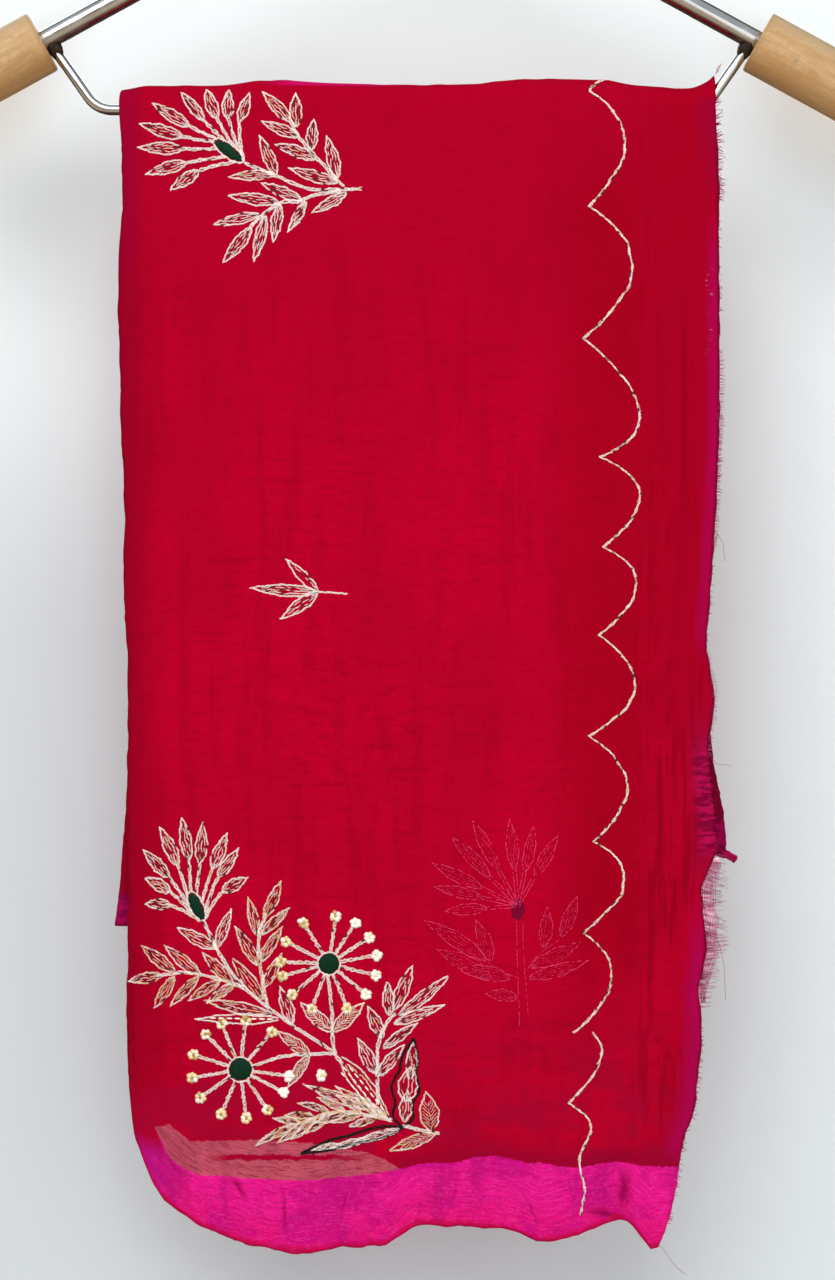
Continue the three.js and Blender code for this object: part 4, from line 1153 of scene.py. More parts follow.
def leafPlace(base, tip, half, bend, t, side, fullAt=0.85):
    # a point on a pointed leaf: t runs from base to tip, side from -1 to 1 across it
    along, beside = besideOf(base, tip)
    profile = np.sin(math.pi * np.clip(t, 0, 1)**fullAt) ** 0.85 * (half - 0.4)
    return base + along * t[:, None] + beside * (side * profile + bend * np.sin(math.pi * t))[:, None]


def leaf(work, base, tip, half=stitch["leafHalf"], tint=0.2, bend=0.0, lines=(-1, -0.5, 0, 0.5, 1),
         size=0.84,
         hatched=0, fullAt=0.85):
    random = work["random"]
    half, bend = half * random.uniform(0.92, 1.08), bend + random.uniform(-0.3, 0.3)
    for line in lines:
        rim = abs(line) == 1
        end = random.uniform(0.98, 1.04) if rim else random.uniform(0.72, 0.88)
        t = np.linspace(0.02, end, 21)
        swing = 0.07 * np.sin(t * random.uniform(16, 24) + random.uniform(0, 6))
        # inner lines get more dark stitches: painted shade between the threads
        wide, dark, shift = (0.88, 0.04, 0.0) if rim else (0.52, 0.26, 0.1)
        chain(work, leafPlace(base, tip, half, bend, t, line + swing, fullAt), tint + shift, size, wide,
              0.0, dark)
    for k in range(hatched):
        t = np.linspace(0.1, 0.26, 5) + 0.66 * k / hatched
        for side in (-1, 1):
            hatch = leafPlace(base, tip, half, bend, t, np.linspace(0.1, 0.72, 5) * side)
            chain(work, hatch, tint + 0.25, size * 0.9, 0.55)


def stem(work, points, tint=0.2, size=0.9):
    path = smoothPath(points)
    slope = np.gradient(path, axis=0)
    beside = np.stack([-slope[:, 1], slope[:, 0]], axis=-1) / np.linalg.norm(slope, axis=1)[:, None]
    for side in (-0.4, 0.4):
        swing = 0.12 * np.sin(np.arange(len(path)) * work["random"].uniform(0.9, 1.5))
        chain(work, path + beside * (side + swing)[:, None], tint, size, 0.84, 0.0, 0.05)
    return path


def leaves(work, rows, tint=0.2, **shape):
    # leaves along a branch: base, tip and half width
    for base, tip, half in rows:
        leaf(work, base, tip, half, tint, **shape)


def branch(work, points, tip, pairs, long, tint=0.2, spread=36, first=0.2, half=stitch["leafHalf"],
           shrink=0.12):
    # a stem with leaves in pairs and one more at its end
    random = work["random"]
    path = stem(work, points, tint)
    run = runAlong(path)
    leaf(work, path[-1], tip, half, tint, random.uniform(-0.5, 0.5))
    for k in range(pairs):
        share = first + (0.97 - first) * k / max(pairs - 1, 1)
        before, at, after = (np.array([np.interp(share * run[-1] + ahead, run, path[:, c]) for c in (0, 1)])
                             for ahead in (-2, 0, 2))
        heading = math.degrees(math.atan2(-(after - before)[1], (after - before)[0]))
        for side in (-1, 1):
            reach = long * (1 - shrink * abs(k - (pairs - 1) / 2)) * random.uniform(0.92, 1.08)
            end = polar(at, heading + side * (spread + random.uniform(-6, 6)), reach)
            leaf(work, at, end, half, tint, -side * random.uniform(0.3, 1.0))


def sprayFlower(work, centre, axes, lean, angles, lengths, tint=0.2, around=(8, 312)):
    # long petals, each a doubled stalk from the ring round the centre that opens to a pointed oval
    stalk, size = 0.52, 0.84
    for angle, reach, at in zip(angles, lengths, np.radians(np.linspace(*around, len(angles)))):
        start = ovalPlace(centre, lean, (axes[0] / 2 + 0.5) * math.cos(at),
                          -(axes[1] / 2 + 0.5) * math.sin(at))
        middle, tip = polar(centre, angle, reach * stalk), polar(centre, angle, reach)
        bow = (start + middle) / 2 * 0.8 + polar(centre, angle, reach * stalk * 0.55) * 0.2
        stem(work, [start, bow, middle], tint, size)
        leaf(work, middle, tip, stitch["petalHalf"], tint, size=size, fullAt=0.78)


def ringOf(work, centre, axes, lean, tint=0.2, size=0.8):
    a = np.linspace(0, 2 * math.pi, 40)
    chain(work, ovalPlace(centre, lean, axes[0] / 2 * np.cos(a), axes[1] / 2 * np.sin(a)), tint, size)


def pinFlower(work, balls, centre, radius, reach, angles, goldAt, tint=0.2):
    ringOf(work, centre, (2 * radius + 0.9, 2 * radius + 0.9), 0, tint)
    for angle in angles:
        stem(work, [polar(centre, angle, radius + 0.6), polar(centre, angle, reach - 2.6)], tint, 0.85)
        balls.append((polar(centre, angle, reach), goldAt(angle)))


def laidOn(fall, plan, heights):
    # places on the cloth from a flat plan and heights above it; a drop below 0 is on the turn over the bar
    across, drop = plan[..., 0], plan[..., 1]
    top = readTable(ridge, "across", across, "height")
    along = np.where(drop < 0, -1 + np.arccos(np.clip(-drop / top, 0, 1)) * 2 / math.pi, drop)
    depth = bundleAt(fall, across, np.maximum(along, 0))
    return strip(fall, across, along, depth, fineAt(fall, across, along) + heights)


def stitchedPiece(name, fall, work, material):
    plan, heights = np.concatenate(work["plan"]), np.concatenate(work["heights"])
    points = laidOn(fall, plan, heights)
    faces = (loopFaces[None] + np.arange(len(points))[:, None, None] * len(loop)).reshape(-1, 4)
    if fall["facing"] > 0:
        faces = faces[:, ::-1]
    print(name, "loops:", len(points))
    return lookOf(makePiece(name, points.reshape(-1, 3), faces, np.concatenate(work["tints"])), material)


def domesPiece(name, fall, domes, material, rings=4, around=20):
    # padded spots: centre, half axes, lean, height, raggedness, tint
    points, faces, tints = [], [], []
    random = np.random.default_rng(41)
    for centre, half, lean, high, ragged, tone in domes:
        base = len(points) * (rings * around + 1)
        a = np.linspace(0, 2 * math.pi, around, endpoint=False)
        edge = 1 + ragged * random.uniform(-1, 1, around)
        plan, heights = [np.array([centre], float)], [np.array([high])]
        for k in range(1, rings + 1):
            share = k / rings
            reach = share * (1 + (edge - 1) * share**2)
            plan.append(ovalPlace(centre, lean, half[0] * reach * np.cos(a), half[1] * reach * np.sin(a)))
            heights.append(np.full(around, high * math.sqrt(max(1 - share**2, 0)) - 0.05 * share))
        points.append(laidOn(fall, np.concatenate(plan), np.concatenate(heights)))
        tints += [tone] * (rings * around + 1)
        for i in range(around):
            n = (i + 1) % around
            faces.append([base, base + 1 + i, base + 1 + n])
            for k in range(rings - 1):
                inner, outer = base + 1 + k * around, base + 1 + (k + 1) * around
                faces.append([inner + i, outer + i, outer + n, inner + n])
    if fall["facing"] < 0:
        faces = [f[::-1] for f in faces]
    return lookOf(makePiece(name, np.concatenate(points), faces, tints), material)


def sequinDomes(balls, seed):
    # each ball is a ring of six small beads round one more
    random = np.random.default_rng(seed)
    domes = []
    for ball, tone in balls:
        turn = random.uniform(0, 60)
        for k in range(6):
            place = polar(ball, turn + 60 * k + random.uniform(-12, 12), 1.5 + random.uniform(-0.2, 0.25))
            wide = random.uniform(1.1, 1.45)
            domes.append((place, (wide, wide), 0, random.uniform(0.8, 1.25), 0.12,
                          tone + random.uniform(-0.2, 0.34)))
        domes.append((ball, (0.8, 0.8), 0, 1.3, 0.05, tone + 0.32))
    return domes


topSprig = startWork(101)
centres = [((-79.0, 20.9), (7.8, 2.5), 37, 1.2, 0.2, 0.5)]
sprayFlower(topSprig, (-79.0, 20.9), (16.0, 5.2), 37, [70, 90, 110, 129, 148, 163, 178, 196, 214],
            [28, 28, 30.5, 34.7, 40.8, 42.4, 41, 39, 32])
ringOf(topSprig, (-79.0, 20.9), (16.6, 6.2), 37)
stem(topSprig, [(-71.3, 26.6), (-57.1, 32.5), (-42.3, 38.4), (-28.7, 38.8), (-18.0, 38.5)])
leaves(topSprig, [((-56.9, 32.3), (-64.5, 14.5), 3.0), ((-57.4, 31.9), (-78.7, 33.1), 2.7)], 0.35)
stem(topSprig, [(-26.3, 37.2), (-32.2, 30.7), (-41.1, 21.2), (-47.6, 13.0), (-50.3, 7.4)])
leaves(topSprig, [((-50.3, 7.4), (-63.0, -6.0), 3.1), ((-47.6, 10.0), (-48.0, -5.2), 3.2),
                  ((-46.5, 14.5), (-63.3, 7.6), 2.9), ((-40.8, 20.7), (-39.7, 6.7), 2.7),
                  ((-38.8, 24.8), (-56.9, 18.1), 2.8), ((-28.7, 33.7), (-33.7, 14.5), 3.2),
                  ((-28.5, 35.5), (-50.6, 29.2), 3.1)], 0.25)
stem(topSprig, [(-27.5, 39.4), (-39.4, 41.4), (-46.5, 44.3), (-54.8, 44.9), (-63.0, 50.3), (-69.0, 56.2)])
leaves(topSprig, [((-24.5, 40.2), (-40.3, 49.3), 2.5), ((-43.5, 44.3), (-51.4, 58.0), 2.5),
                  ((-45.0, 43.7), (-63.6, 36.0), 2.7), ((-55.7, 44.6), (-78.7, 41.7), 2.9),
                  ((-55.3, 45.5), (-58.3, 62.7), 2.9), ((-64.8, 50.3), (-85.2, 54.8), 2.7),
                  ((-61.9, 50.9), (-67.2, 71.3), 2.7), ((-68.4, 56.2), (-81.4, 72.2), 3.3)], 0.15)
stitchedPiece("embroidery_top_sprig", front, topSprig, silver)

buti = startWork(103)
leaf(buti, (-37.7, 224.1), (-68.1, 222.3), 3.1)
leaf(buti, (-37.7, 224.1), (-52.0, 209.4), 2.6, lines=(-1, 0.3, 1))
leaf(buti, (-37.7, 224.1), (-54.3, 236.1), 3.0)
chain(buti, smoothPath([(-37.7, 224.1), (-31, 224.4), (-24.4, 225)]), 0.3, 0.8)

bouquet, balls = startWork(107), []
centres.append(((-93.7, 368.8), (6.9, 2.6), 65, 1.3, 0.2, 0.5))
sprayFlower(bouquet, (-93.7, 368.8), (13.6, 5.4), 65,
            [29.5, 54, 67.4, 85.7, 99.5, 114.8, 133.4, 150.8, 177.3],
            [26.5, 32.4, 36, 38, 41.4, 39.7, 35.4, 26.7, 23.4], 0.3, around=(20, 330))
ringOf(bouquet, (-93.7, 368.8), (14.4, 6.4), 65)
stem(bouquet, [(-90.5, 375.4), (-84.2, 388.3), (-72.2, 405.8), (-50.6, 422.8), (-31.3, 435.3)])
leaves(bouquet, [((-84.6, 388.1), (-102.1, 378.9), 3.2), ((-84.6, 388.1), (-77.8, 370.6), 2.9)], 0.3)
stem(bouquet, [(-72.2, 406.4), (-81.7, 402.7), (-97.6, 399.2), (-111.9, 400.8)], 0.4)
leaves(bouquet, [((-77.0, 404.8), (-90.5, 390.5), 2.9), ((-92.0, 400.0), (-107.9, 387.3), 2.9),
                 ((-103.5, 399.2), (-118.6, 387.3), 2.9), ((-76.5, 404.8), (-88.5, 413.0), 2.4),
                 ((-82.5, 402.7), (-96.8, 411.9), 2.6), ((-92.6, 401.1), (-105.5, 414.3), 2.6),
                 ((-103.8, 400.8), (-113.0, 415.4), 2.6), ((-109.5, 400.8), (-124.6, 403.2), 2.7)], 0.55)
stem(bouquet, [(-61.1, 415.1), (-63.9, 399.2), (-65.0, 383.3), (-61.9, 372.2)], 0.4)
leaves(bouquet, [((-62.5, 374.0), (-55.0, 357.6), 2.6), ((-65.5, 382.5), (-69.8, 365.1), 2.7),
                 ((-65.4, 396.0), (-75.4, 378.6), 2.9), ((-63.0, 411.9), (-77.0, 392.9), 3.1),
                 ((-63.9, 381.7), (-51.2, 369.8), 2.5), ((-64.2, 394.5), (-54.4, 378.6), 2.7),
                 ((-63.0, 406.4), (-54.7, 391.1), 2.5)], 0.5)
leaf(bouquet, (-58.7, 418.6), (-89.3, 412.3), 3.3, 0.4)
leaf(bouquet, (-55.5, 420.8), (-93.2, 420.8), 2.6, 0.25, lines=(-1, 1))
leaf(bouquet, (-49.6, 423.1), (-55.0, 406.4), 3.0, 0.15)
bugleRuns = [([(-88.0, 420.4), (-58.0, 420.8)], 8), ([(-26.4, 442.4), (-8.6, 465.2)], 8),
             ([(-27.4, 445.0), (-11.4, 464.8)], 7), ([(-23.6, 442.4), (-7.0, 463.4)], 7)]
pinFlower(bouquet, balls, (-32.7, 395.2), 4.7, 22.2,
          [82, 57, 33, 10, -14, -40, -68, -111, -140, -165, 178, 153, 122],
          lambda angle: 0.2 if -60 < angle < 70 else 0.52, 0.3)
pinFlower(bouquet, balls, (-73.6, 444.0), 5.2, 22.6,
          [84, 112, 135, 163, 190, 215, 247, 277, 304, 332, 352, 50],
          lambda angle: 0.1 if angle > 325 else 0.58, 0.3)
balls.append((np.array([-36.3, 446.8]), 0.3))
centres += [((-32.7, 395.2), (4.9, 4.8), 0, 1.3, 0.16, 0.5),
            ((-73.6, 444.0), (5.4, 5.1), 0, 1.3, 0.16, 0.5)]
stem(bouquet, [(-33.2, 400.2), (-31.3, 418.0), (-31.3, 426.5), (-29.9, 436.6), (-26.6, 441.2)])
leaves(bouquet, [((-31.2, 426.5), (-45.5, 413.5), 3.5), ((-31.2, 426.5), (-16.9, 413.5), 3.5)], 0.25,
       lines=(-1, 0, 1), hatched=7)
stem(bouquet, [(-68.2, 442.5), (-54.0, 438.0), (-41.4, 437.0), (-29.9, 436.6)])
leaves(bouquet, [((-41.2, 437.7), (-56.3, 426.5), 2.9), ((-42.0, 437.7), (-51.5, 452.0), 2.6)], 0.35,
       lines=(-1, 0, 1), hatched=6)
stem(bouquet, [(-10.2, 460.0), (-10.2, 434.2), (-6.3, 423.0), (-2.3, 418.3)], 0.1)
leaves(bouquet, [((-3.1, 416.7), (5.6, 396.4), 3.4), ((-0.7, 419.1), (22.3, 401.1), 3.1),
                 ((-3.1, 423.0), (19.9, 414.3), 2.7), ((-7.9, 434.2), (7.5, 423.0), 2.7),
                 ((-9.9, 446.9), (1.7, 432.9), 2.8), ((-4.7, 419.1), (-5.8, 403.7), 3.2),
                 ((-7.9, 429.4), (-14.7, 415.1), 3.1), ((-10.6, 446.1), (-19.0, 430.2), 3.1)], 0.12)
leaf(bouquet, (-27.7, 438.1), (-4.7, 467.5), 4.7, 0.35, lines=(-1, 1))
leaf(bouquet, (-25.0, 441.5), (-6.0, 466.0), 2.6, 0.6, lines=(-1, 1), size=0.7)
leaves(bouquet, [((-11.0, 462.8), (-43.6, 451.3), 2.7), ((-6.3, 465.6), (-29.0, 452.4), 2.4)], 0.5)
branch(bouquet, [(-3.9, 467.5), (-27.7, 463.6), (-46.8, 469.1)], (-66.2, 479.0), 6, 16.0, 0.5, 25, 0.16,
       1.9, 0.06)
leaves(bouquet, [((2.1, 468.3), (3.5, 454.0), 3.1), ((2.8, 459.0), (5.0, 443.0), 4.5),
                 ((4.6, 448.5), (6.1, 432.0), 2.8), ((0.0, 471.6), (-22.0, 478.4), 2.3),
                 ((-16.0, 476.2), (-31.5, 480.4), 2.0), ((-27.0, 478.8), (-40.6, 481.2), 1.5)], 0.2)
stem(bouquet, [(1.7, 469.9), (9.0, 472.0), (17.8, 473.6)], 0.4)
leaf(bouquet, (14.4, 472.6), (12.0, 454.8), 4.4, 0.5, lines=(-1, 0, 1), hatched=7)
leaf(bouquet, (16.4, 473.6), (-4.7, 481.6), 3.0, 0.5, lines=(-1, 0, 1), hatched=6)
stitchedPiece("embroidery_bouquet", front, bouquet, silver)

outline = startWork(109)


def wavyOutline(base, tip, shares, halves, bend):
    # a bold uneven line round a leaf, from half widths at shares of its length
    along, beside = besideOf(base, tip)
    t = np.linspace(0, 1, 60)
    wide = readTable({"share": shares, "half": halves}, "share", t, "half")
    for side in (-1, 1):
        path = base + along * t[:, None] + beside * (side * wide + bend * np.sin(math.pi * t))[:, None]
        for shift in (-0.3, 0.3):
            chain(outline, path + beside * shift, 0.2, 0.95, 0.7)


wavyOutline((1.0, 471.0), (6.2, 429.8), [0, 0.12, 0.27, 0.44, 0.62, 0.8, 1],
            [0, 4.6, 4.0, 6.4, 4.0, 3.4, 0], -0.8)
wavyOutline((1.2, 471.0), (-45.4, 482.9), [0, 0.12, 0.3, 0.5, 0.7, 0.86, 1],
            [0, 2.0, 2.7, 2.1, 2.2, 1.2, 0], 0.6)
stitchedPiece("embroidery_dark_outline", front, outline, blackThread)

scallops = {
    "cuspAcross": [95.7, 87.4, 86.9, 84.2, 92.0, 93.4, 91.5, 86.9, 89.2, 84.2, 80.0],
    "cuspDrop": [-13.6, -6.8, 46.6, 107.3, 162.0, 203.4, 243.9, 290.4, 339.1, 381.0, 427.0],
    "bulgeAcross": [90.5, 103.2, 106.9, 110.5, 110.5, 108.8, 107.8, 104.2, 103.4, 97.6],
    "bulgeDrop": [-11.0, 17.0, 74.6, 140.4, 180.0, 221.0, 268.0, 313.0, 357.0, 402.0],
}
scallopEnd = [(88.8, 427.0), (92.9, 434.8), (89.0, 447.0), (77.7, 459.6)]
scallopTail = [(77.7, 459.6), (86.0, 466.0), (87.9, 473.0), (82.5, 485.4), (85.1, 499.7), (83.3, 511.0)]
backScallops = {"across": 88.0, "bulge": 19.0, "period": 59.0, "first": -10.0, "last": 340.0}


def edgingLine(work, path):
    # two thin chains wound loosely round one another
    run = np.arange(len(path))
    for turn, tint in ((0.0, 0.2), (math.pi, 0.6)):
        swing = 0.3 * np.sin(run * 0.85 + turn) + 0.14 * np.sin(run * 0.31 + 2 * turn)
        chain(work, path + np.stack([swing, 0.5 * swing], axis=-1), tint, 0.78, 0.85, 0.06, 0.14)


def scallopLine(work, start, bulge, end):
    start, bulge, end = (np.array(p, float) for p in (start, bulge, end))
    t = np.linspace(0, 1, 44)[:, None]
    path = start * (2 * t - 1) * (t - 1) + bulge * 4 * t * (1 - t) + end * t * (2 * t - 1)
    path[:, 0] += 0.9 * np.sin(math.pi * t[:, 0]) * waver(path[:, 1], 5.0, 91)
    edgingLine(work, path)


edging = startWork(113)
cusps = list(zip(scallops["cuspAcross"], scallops["cuspDrop"]))
for start, end, bulge in zip(cusps, cusps[1:], zip(scallops["bulgeAcross"], scallops["bulgeDrop"])):
    scallopLine(edging, start, bulge, end)
for points in (scallopEnd, scallopTail):
    edgingLine(edging, smoothPath(points))
stitchedPiece("embroidery_scallop_line", front, edging, silver)
stitchedPiece("embroidery_small_buti", front, buti, silver)

rear = startWork(127)
drop = backScallops["first"]
while drop < backScallops["last"] - 20:
    reach = min(backScallops["period"], backScallops["last"] - drop)
    bulge = (backScallops["across"] + backScallops["bulge"], drop + reach * 0.52)
    scallopLine(rear, (backScallops["across"], drop), bulge, (backScallops["across"], drop + reach))
    drop += reach
rearCentre = (34.0, 232.0)
rearCentres = [(rearCentre, (6.4, 2.8), 60, 1.2, 0.16, 0.5)]
sprayFlower(rear, rearCentre, (12.9, 5.6), 60, [28, 48, 66, 84, 102, 120, 138, 158],
            [28, 33, 37, 40, 41, 38, 34, 29])
ringOf(rear, rearCentre, (13.6, 6.4), 60)
stem(rear, [(37.0, 238.5), (44.0, 262.0), (38.0, 290.0)])
branch(rear, [(43.0, 262.0), (30.0, 268.0), (14.0, 268.0)], (-4.0, 274.0), 3, 16.0)
branch(rear, [(43.0, 270.0), (54.0, 264.0), (66.0, 252.0)], (76.0, 238.0), 3, 16.0)
for base, tips in (((-58, 92), ((-88, 90), (-72, 77), (-74, 104))),
                   ((60, 60), ((30, 58), (46, 45), (44, 72)))):
    for tip in tips:
        leaf(rear, base, tip, 3.0)
stitchedPiece("embroidery_back", back, rear, silver)

ghost = startWork(131, 0.28)
ghostCentre = (54.3, 368.6)
ghostTips = [(16.0, 359.8), (15.5, 349.2), (21.0, 371.0), (24.0, 337.2), (33.5, 329.5), (50.5, 329.5),
             (61.5, 332.2), (72.5, 336.5)]
for tip in ghostTips:
    along, beside = besideOf(ghostCentre, tip)
    middle = ghostCentre + along * 0.42
    for side in (-0.7, 0.7):
        chain(ghost, [ghostCentre + beside * side, middle + beside * side], 0.3, 0.42, 0.8)
    leaf(ghost, middle, tip, 3.0, 0.35, 0, (-1, -0.45, 0.1, 0.5, 1), 0.42)
ghostLeaves = [((40.0, 394.0), (11.5, 375.5), 4.0), ((42.0, 394.5), (35.0, 375.5), 3.6),
               ((42.0, 402.5), (17.5, 389.0), 4.2), ((51.0, 402.0), (28.0, 397.5), 3.6),
               ((54.0, 411.0), (40.0, 409.0), 3.2), ((66.0, 388.0), (68.0, 369.5), 3.4),
               ((74.0, 383.0), (81.5, 364.5), 3.4), ((60.0, 397.0), (83.0, 385.5), 3.6),
               ((59.0, 402.0), (86.0, 394.0), 3.2)]
for base, tip, half in ghostLeaves:
    leaf(ghost, base, tip, half, 0.45, 0.5, (-1, -0.6, -0.2, 0.2, 0.6, 1), 0.42)
for path in ([(53.5, 373.0), (54.0, 392.0), (55.0, 424.0)], [(56.6, 376.5), (57.0, 392.0), (59.0, 419.0)],
             [(55.5, 402.0), (46.0, 398.5), (38.0, 392.5)], [(57.0, 400.0), (64.0, 391.0), (74.5, 383.5)]):
    chain(ghost, smoothPath(path), 0.6, 0.42, 0.8)
stitchedPiece("embroidery_seen_through", front, ghost, ghostThread)


def bugleDomes(runs):
    # short silver tubes sewn end to end, each with a dark gap after it
    domes = []
    for (start, end), count in runs:
        start, end = np.array(start), np.array(end)
        lean = math.degrees(math.atan2((end - start)[1], (end - start)[0]))
        half = np.linalg.norm(end - start) / count / 2 - 0.35
        for k in range(count):
            domes.append((start + (end - start) * (k + 0.5) / count, (half, 0.42), lean, 0.75, 0.0, 0.1))
    return domes


domesPiece("bugle_beads", front, bugleDomes(bugleRuns), sequin, 3, 12)
domesPiece("sequin_balls", front, sequinDomes(balls, 43), sequin, 3, 9)
domesPiece("green_centres", front, centres, greenThread, 5, 36)
domesPiece("green_centre_back", back, rearCentres, greenThread, 5, 36)
domesPiece("dark_spot_seen_through", front, [((54.2, 370.2), (5.4, 3.4), 95, 0.2, 0.1, 0.5)], spotCloth, 4,
           28)
print("embroidery made")


hook = {"wire": 5.0, "inside": 38.0, "tipAngle": 205.0, "shank": 20.0}
arms = {"tube": 9.5, "slope": math.radians(28.7), "bend": 45.0, "seatToApex": 72.0, "intoSleeve": 52.0}
sleeve = {"diameter": 29.0, "length": 70.0, "startAt": 166.0, "bevel": 1.3, "endRound": 5.0}
weldLump = {"across": 160.4, "long": 5.4, "wide": 3.4, "thick": 3.5}
barEnd = 161.9   # inside the arm tube


def applyModifier(piece, kind, **settings):
    selectOnly(piece)
    modifier = piece.modifiers.new(kind.lower(), kind)
    for key, value in settings.items():
        setattr(modifier, key, value)
    bpy.ops.object.modifier_apply(modifier=modifier.name)


def bentWire(name, line, diameter, replaced, sides=24):
    # a round wire along points in the X-Z plane, with rounded ends
    bpy.ops.curve.primitive_nurbs_path_add(location=(0, 0, 0))
    piece = bpy.context.object
    piece.name = name
    piece.data.splines.clear()
    spline = piece.data.splines.new("POLY")
    spline.points.add(len(line) - 1)
    for point, (x, z) in zip(spline.points, line):
        point.co = (x * mm, 0, z * mm, 1)
    piece.data.dimensions = "3D"
    piece.data.bevel_depth = diameter / 2 * mm
    piece.data.bevel_resolution = (sides - 4) // 2
    piece.data.use_fill_caps = True
    selectOnly(piece)
    bpy.ops.object.convert(target="MESH")
    piece = bpy.context.object
    turnOutwards(piece, merge=True)
    applyModifier(piece, "BEVEL", width=diameter * 0.12 * mm, segments=3, limit_method="ANGLE",
                  angle_limit=math.radians(50))
    bpy.ops.object.shade_smooth_by_angle(angle=math.radians(40))
    return lookOf(piece, chrome, [replaced])


def armHeight(across):
    # the arm's axis away from the bend at its top
    apex = -arms["seatToApex"] + arms["bend"] * (1 / math.cos(arms["slope"]) - 1)
    return apex - abs(across) * math.tan(arms["slope"])


def barHeight(across):
    return bar["height"] + (across - bar["cornerAt"]) * math.tan(bar["rise"])


def makeHook():
    radius, centre = (hook["inside"] + hook["wire"]) / 2, -hook["inside"] / 2
    foot = -arms["seatToApex"] + arms["tube"] / 2 + 0.4
    line = [(0, foot), (0, foot + hook["shank"])]
    p = [np.array(q) for q in (line[1], (0, foot + 29), (radius, -35), (radius, centre))]
    for t in np.linspace(0, 1, 22)[1:]:
        u = 1 - t
        line.append(tuple(u**3 * p[0] + 3 * t * u**2 * p[1] + 3 * t * t * u * p[2] + t**3 * p[3]))
    for a in np.radians(np.linspace(0, hook["tipAngle"], 72)[1:]):
        line.append((radius * math.cos(a), centre + radius * math.sin(a)))
    return bentWire("hook_wire", line, hook["wire"], "hanger_hook")


def makeArms():
    half = sleeve["startAt"] + arms["intoSleeve"] * math.cos(arms["slope"])
    bend, bendEnd = arms["bend"], arms["bend"] * math.sin(arms["slope"])
    line = [(-half, armHeight(half))]
    for x in np.linspace(-bendEnd, bendEnd, 31):
        line.append((x, -arms["seatToApex"] - bend * (1 - math.sqrt(max(1 - (x / bend) ** 2, 0)))))
    line.append((half, armHeight(half)))
    return bentWire("arm_tube", line, arms["tube"], "hanger_arms", 32)


def makeBar():
    start = bar["cornerAt"] - bar["bend"] * math.tan(bar["rise"] / 2)
    right = []
    for a in np.linspace(0, bar["rise"], 14):
        right.append((start + bar["bend"] * math.sin(a), bar["height"] + bar["bend"] * (1 - math.cos(a))))
    right.append((barEnd, barHeight(barEnd)))
    line = [(-x, z) for x, z in reversed(right)] + right
    return bentWire("trouser_bar_wire", line, bar["wire"], "trouser_bar")


def pickEnd(piece, middle, toward):
    # leaves the piece in edit mode with only its flat end face on that side picked
    bpy.ops.object.mode_set(mode="EDIT")
    bpy.ops.mesh.select_all(action="DESELECT")
    bpy.ops.object.mode_set(mode="OBJECT")
    for face in piece.data.polygons:
        face.select = len(face.vertices) > 40 and (face.center - middle).dot(toward) > 0
    bpy.ops.object.mode_set(mode="EDIT")
    bpy.ops.mesh.select_mode(type="FACE")


def makeSleeve(name, side, replaced):
    # a turned wooden sleeve with a bore for the tube, its inner end facing the middle
    slope = arms["slope"]
    along = Vector((side * math.cos(slope), 0, -math.sin(slope)))
    inner = Vector((side * sleeve["startAt"], 0, armHeight(sleeve["startAt"]))) * mm
    middle = inner + along * sleeve["length"] / 2 * mm
    bpy.ops.mesh.primitive_cylinder_add(
        vertices=64, radius=sleeve["diameter"] / 2 * mm, depth=sleeve["length"] * mm, location=middle,
        rotation=along.to_track_quat("Z", "Y").to_euler())
    piece = bpy.context.object
    piece.name = name
    piece.data.name = name
    bpy.ops.object.transform_apply(location=True, rotation=True, scale=True)
    for end, width, segments in ((-1, sleeve["bevel"], 5), (1, sleeve["endRound"], 8)):
        pickEnd(piece, middle, along * end)
        bpy.ops.mesh.region_to_loop()
        bpy.ops.mesh.bevel(offset=width * mm, segments=segments, affect="EDGES")
        bpy.ops.object.mode_set(mode="OBJECT")
    pickEnd(piece, middle, -along)
    bore = arms["tube"] / 2 + 0.3
    bpy.ops.mesh.inset(thickness=(sleeve["diameter"] / 2 - sleeve["bevel"] - bore) * mm)
    bpy.ops.mesh.extrude_region_move(TRANSFORM_OT_translate={"value": along * (arms["intoSleeve"] + 2) * mm})
    bpy.ops.object.mode_set(mode="OBJECT")
    turnOutwards(piece)
    bpy.ops.object.shade_smooth_by_angle(angle=math.radians(35))
    grain = piece.data.attributes.new("grain", "FLOAT_VECTOR", "POINT")
    depth = Vector((0, 1, 0))
    upward = along.cross(depth) * side
    for vertex, place in zip(piece.data.vertices, grain.data):
        d = vertex.co - middle
        place.vector = (d.dot(along), d.dot(depth) + 0.01 + side * 0.3, d.dot(upward))
    return lookOf(piece, wood, [replaced])


def makeWeld(name, side):
    # a dark lump of weld where the bar's wire meets the arm
    bpy.ops.mesh.primitive_uv_sphere_add(segments=28, ring_count=16, radius=1, location=(0, 0, 0))
    piece = bpy.context.object
    piece.name = name
    piece.data.name = name
    c, s = math.cos(bar["rise"]), math.sin(bar["rise"])
    across, height = weldLump["across"], barHeight(weldLump["across"])
    for vertex in piece.data.vertices:
        x, y, z = vertex.co
        lump = 1 + 0.12 * math.sin(5 * x + 3 * z) + 0.08 * math.sin(7 * y + 4 * z)
        along, aside = z * weldLump["long"] * lump, x * weldLump["wide"] * lump * (1 + 0.35 * z)
        vertex.co = (side * (across + along * c + aside * s) * mm, y * weldLump["thick"] * lump * mm,
                     (height + along * s - aside * c) * mm)
    if side < 0:
        piece.data.flip_normals()
    piece.data.shade_smooth()
    return lookOf(piece, weld)


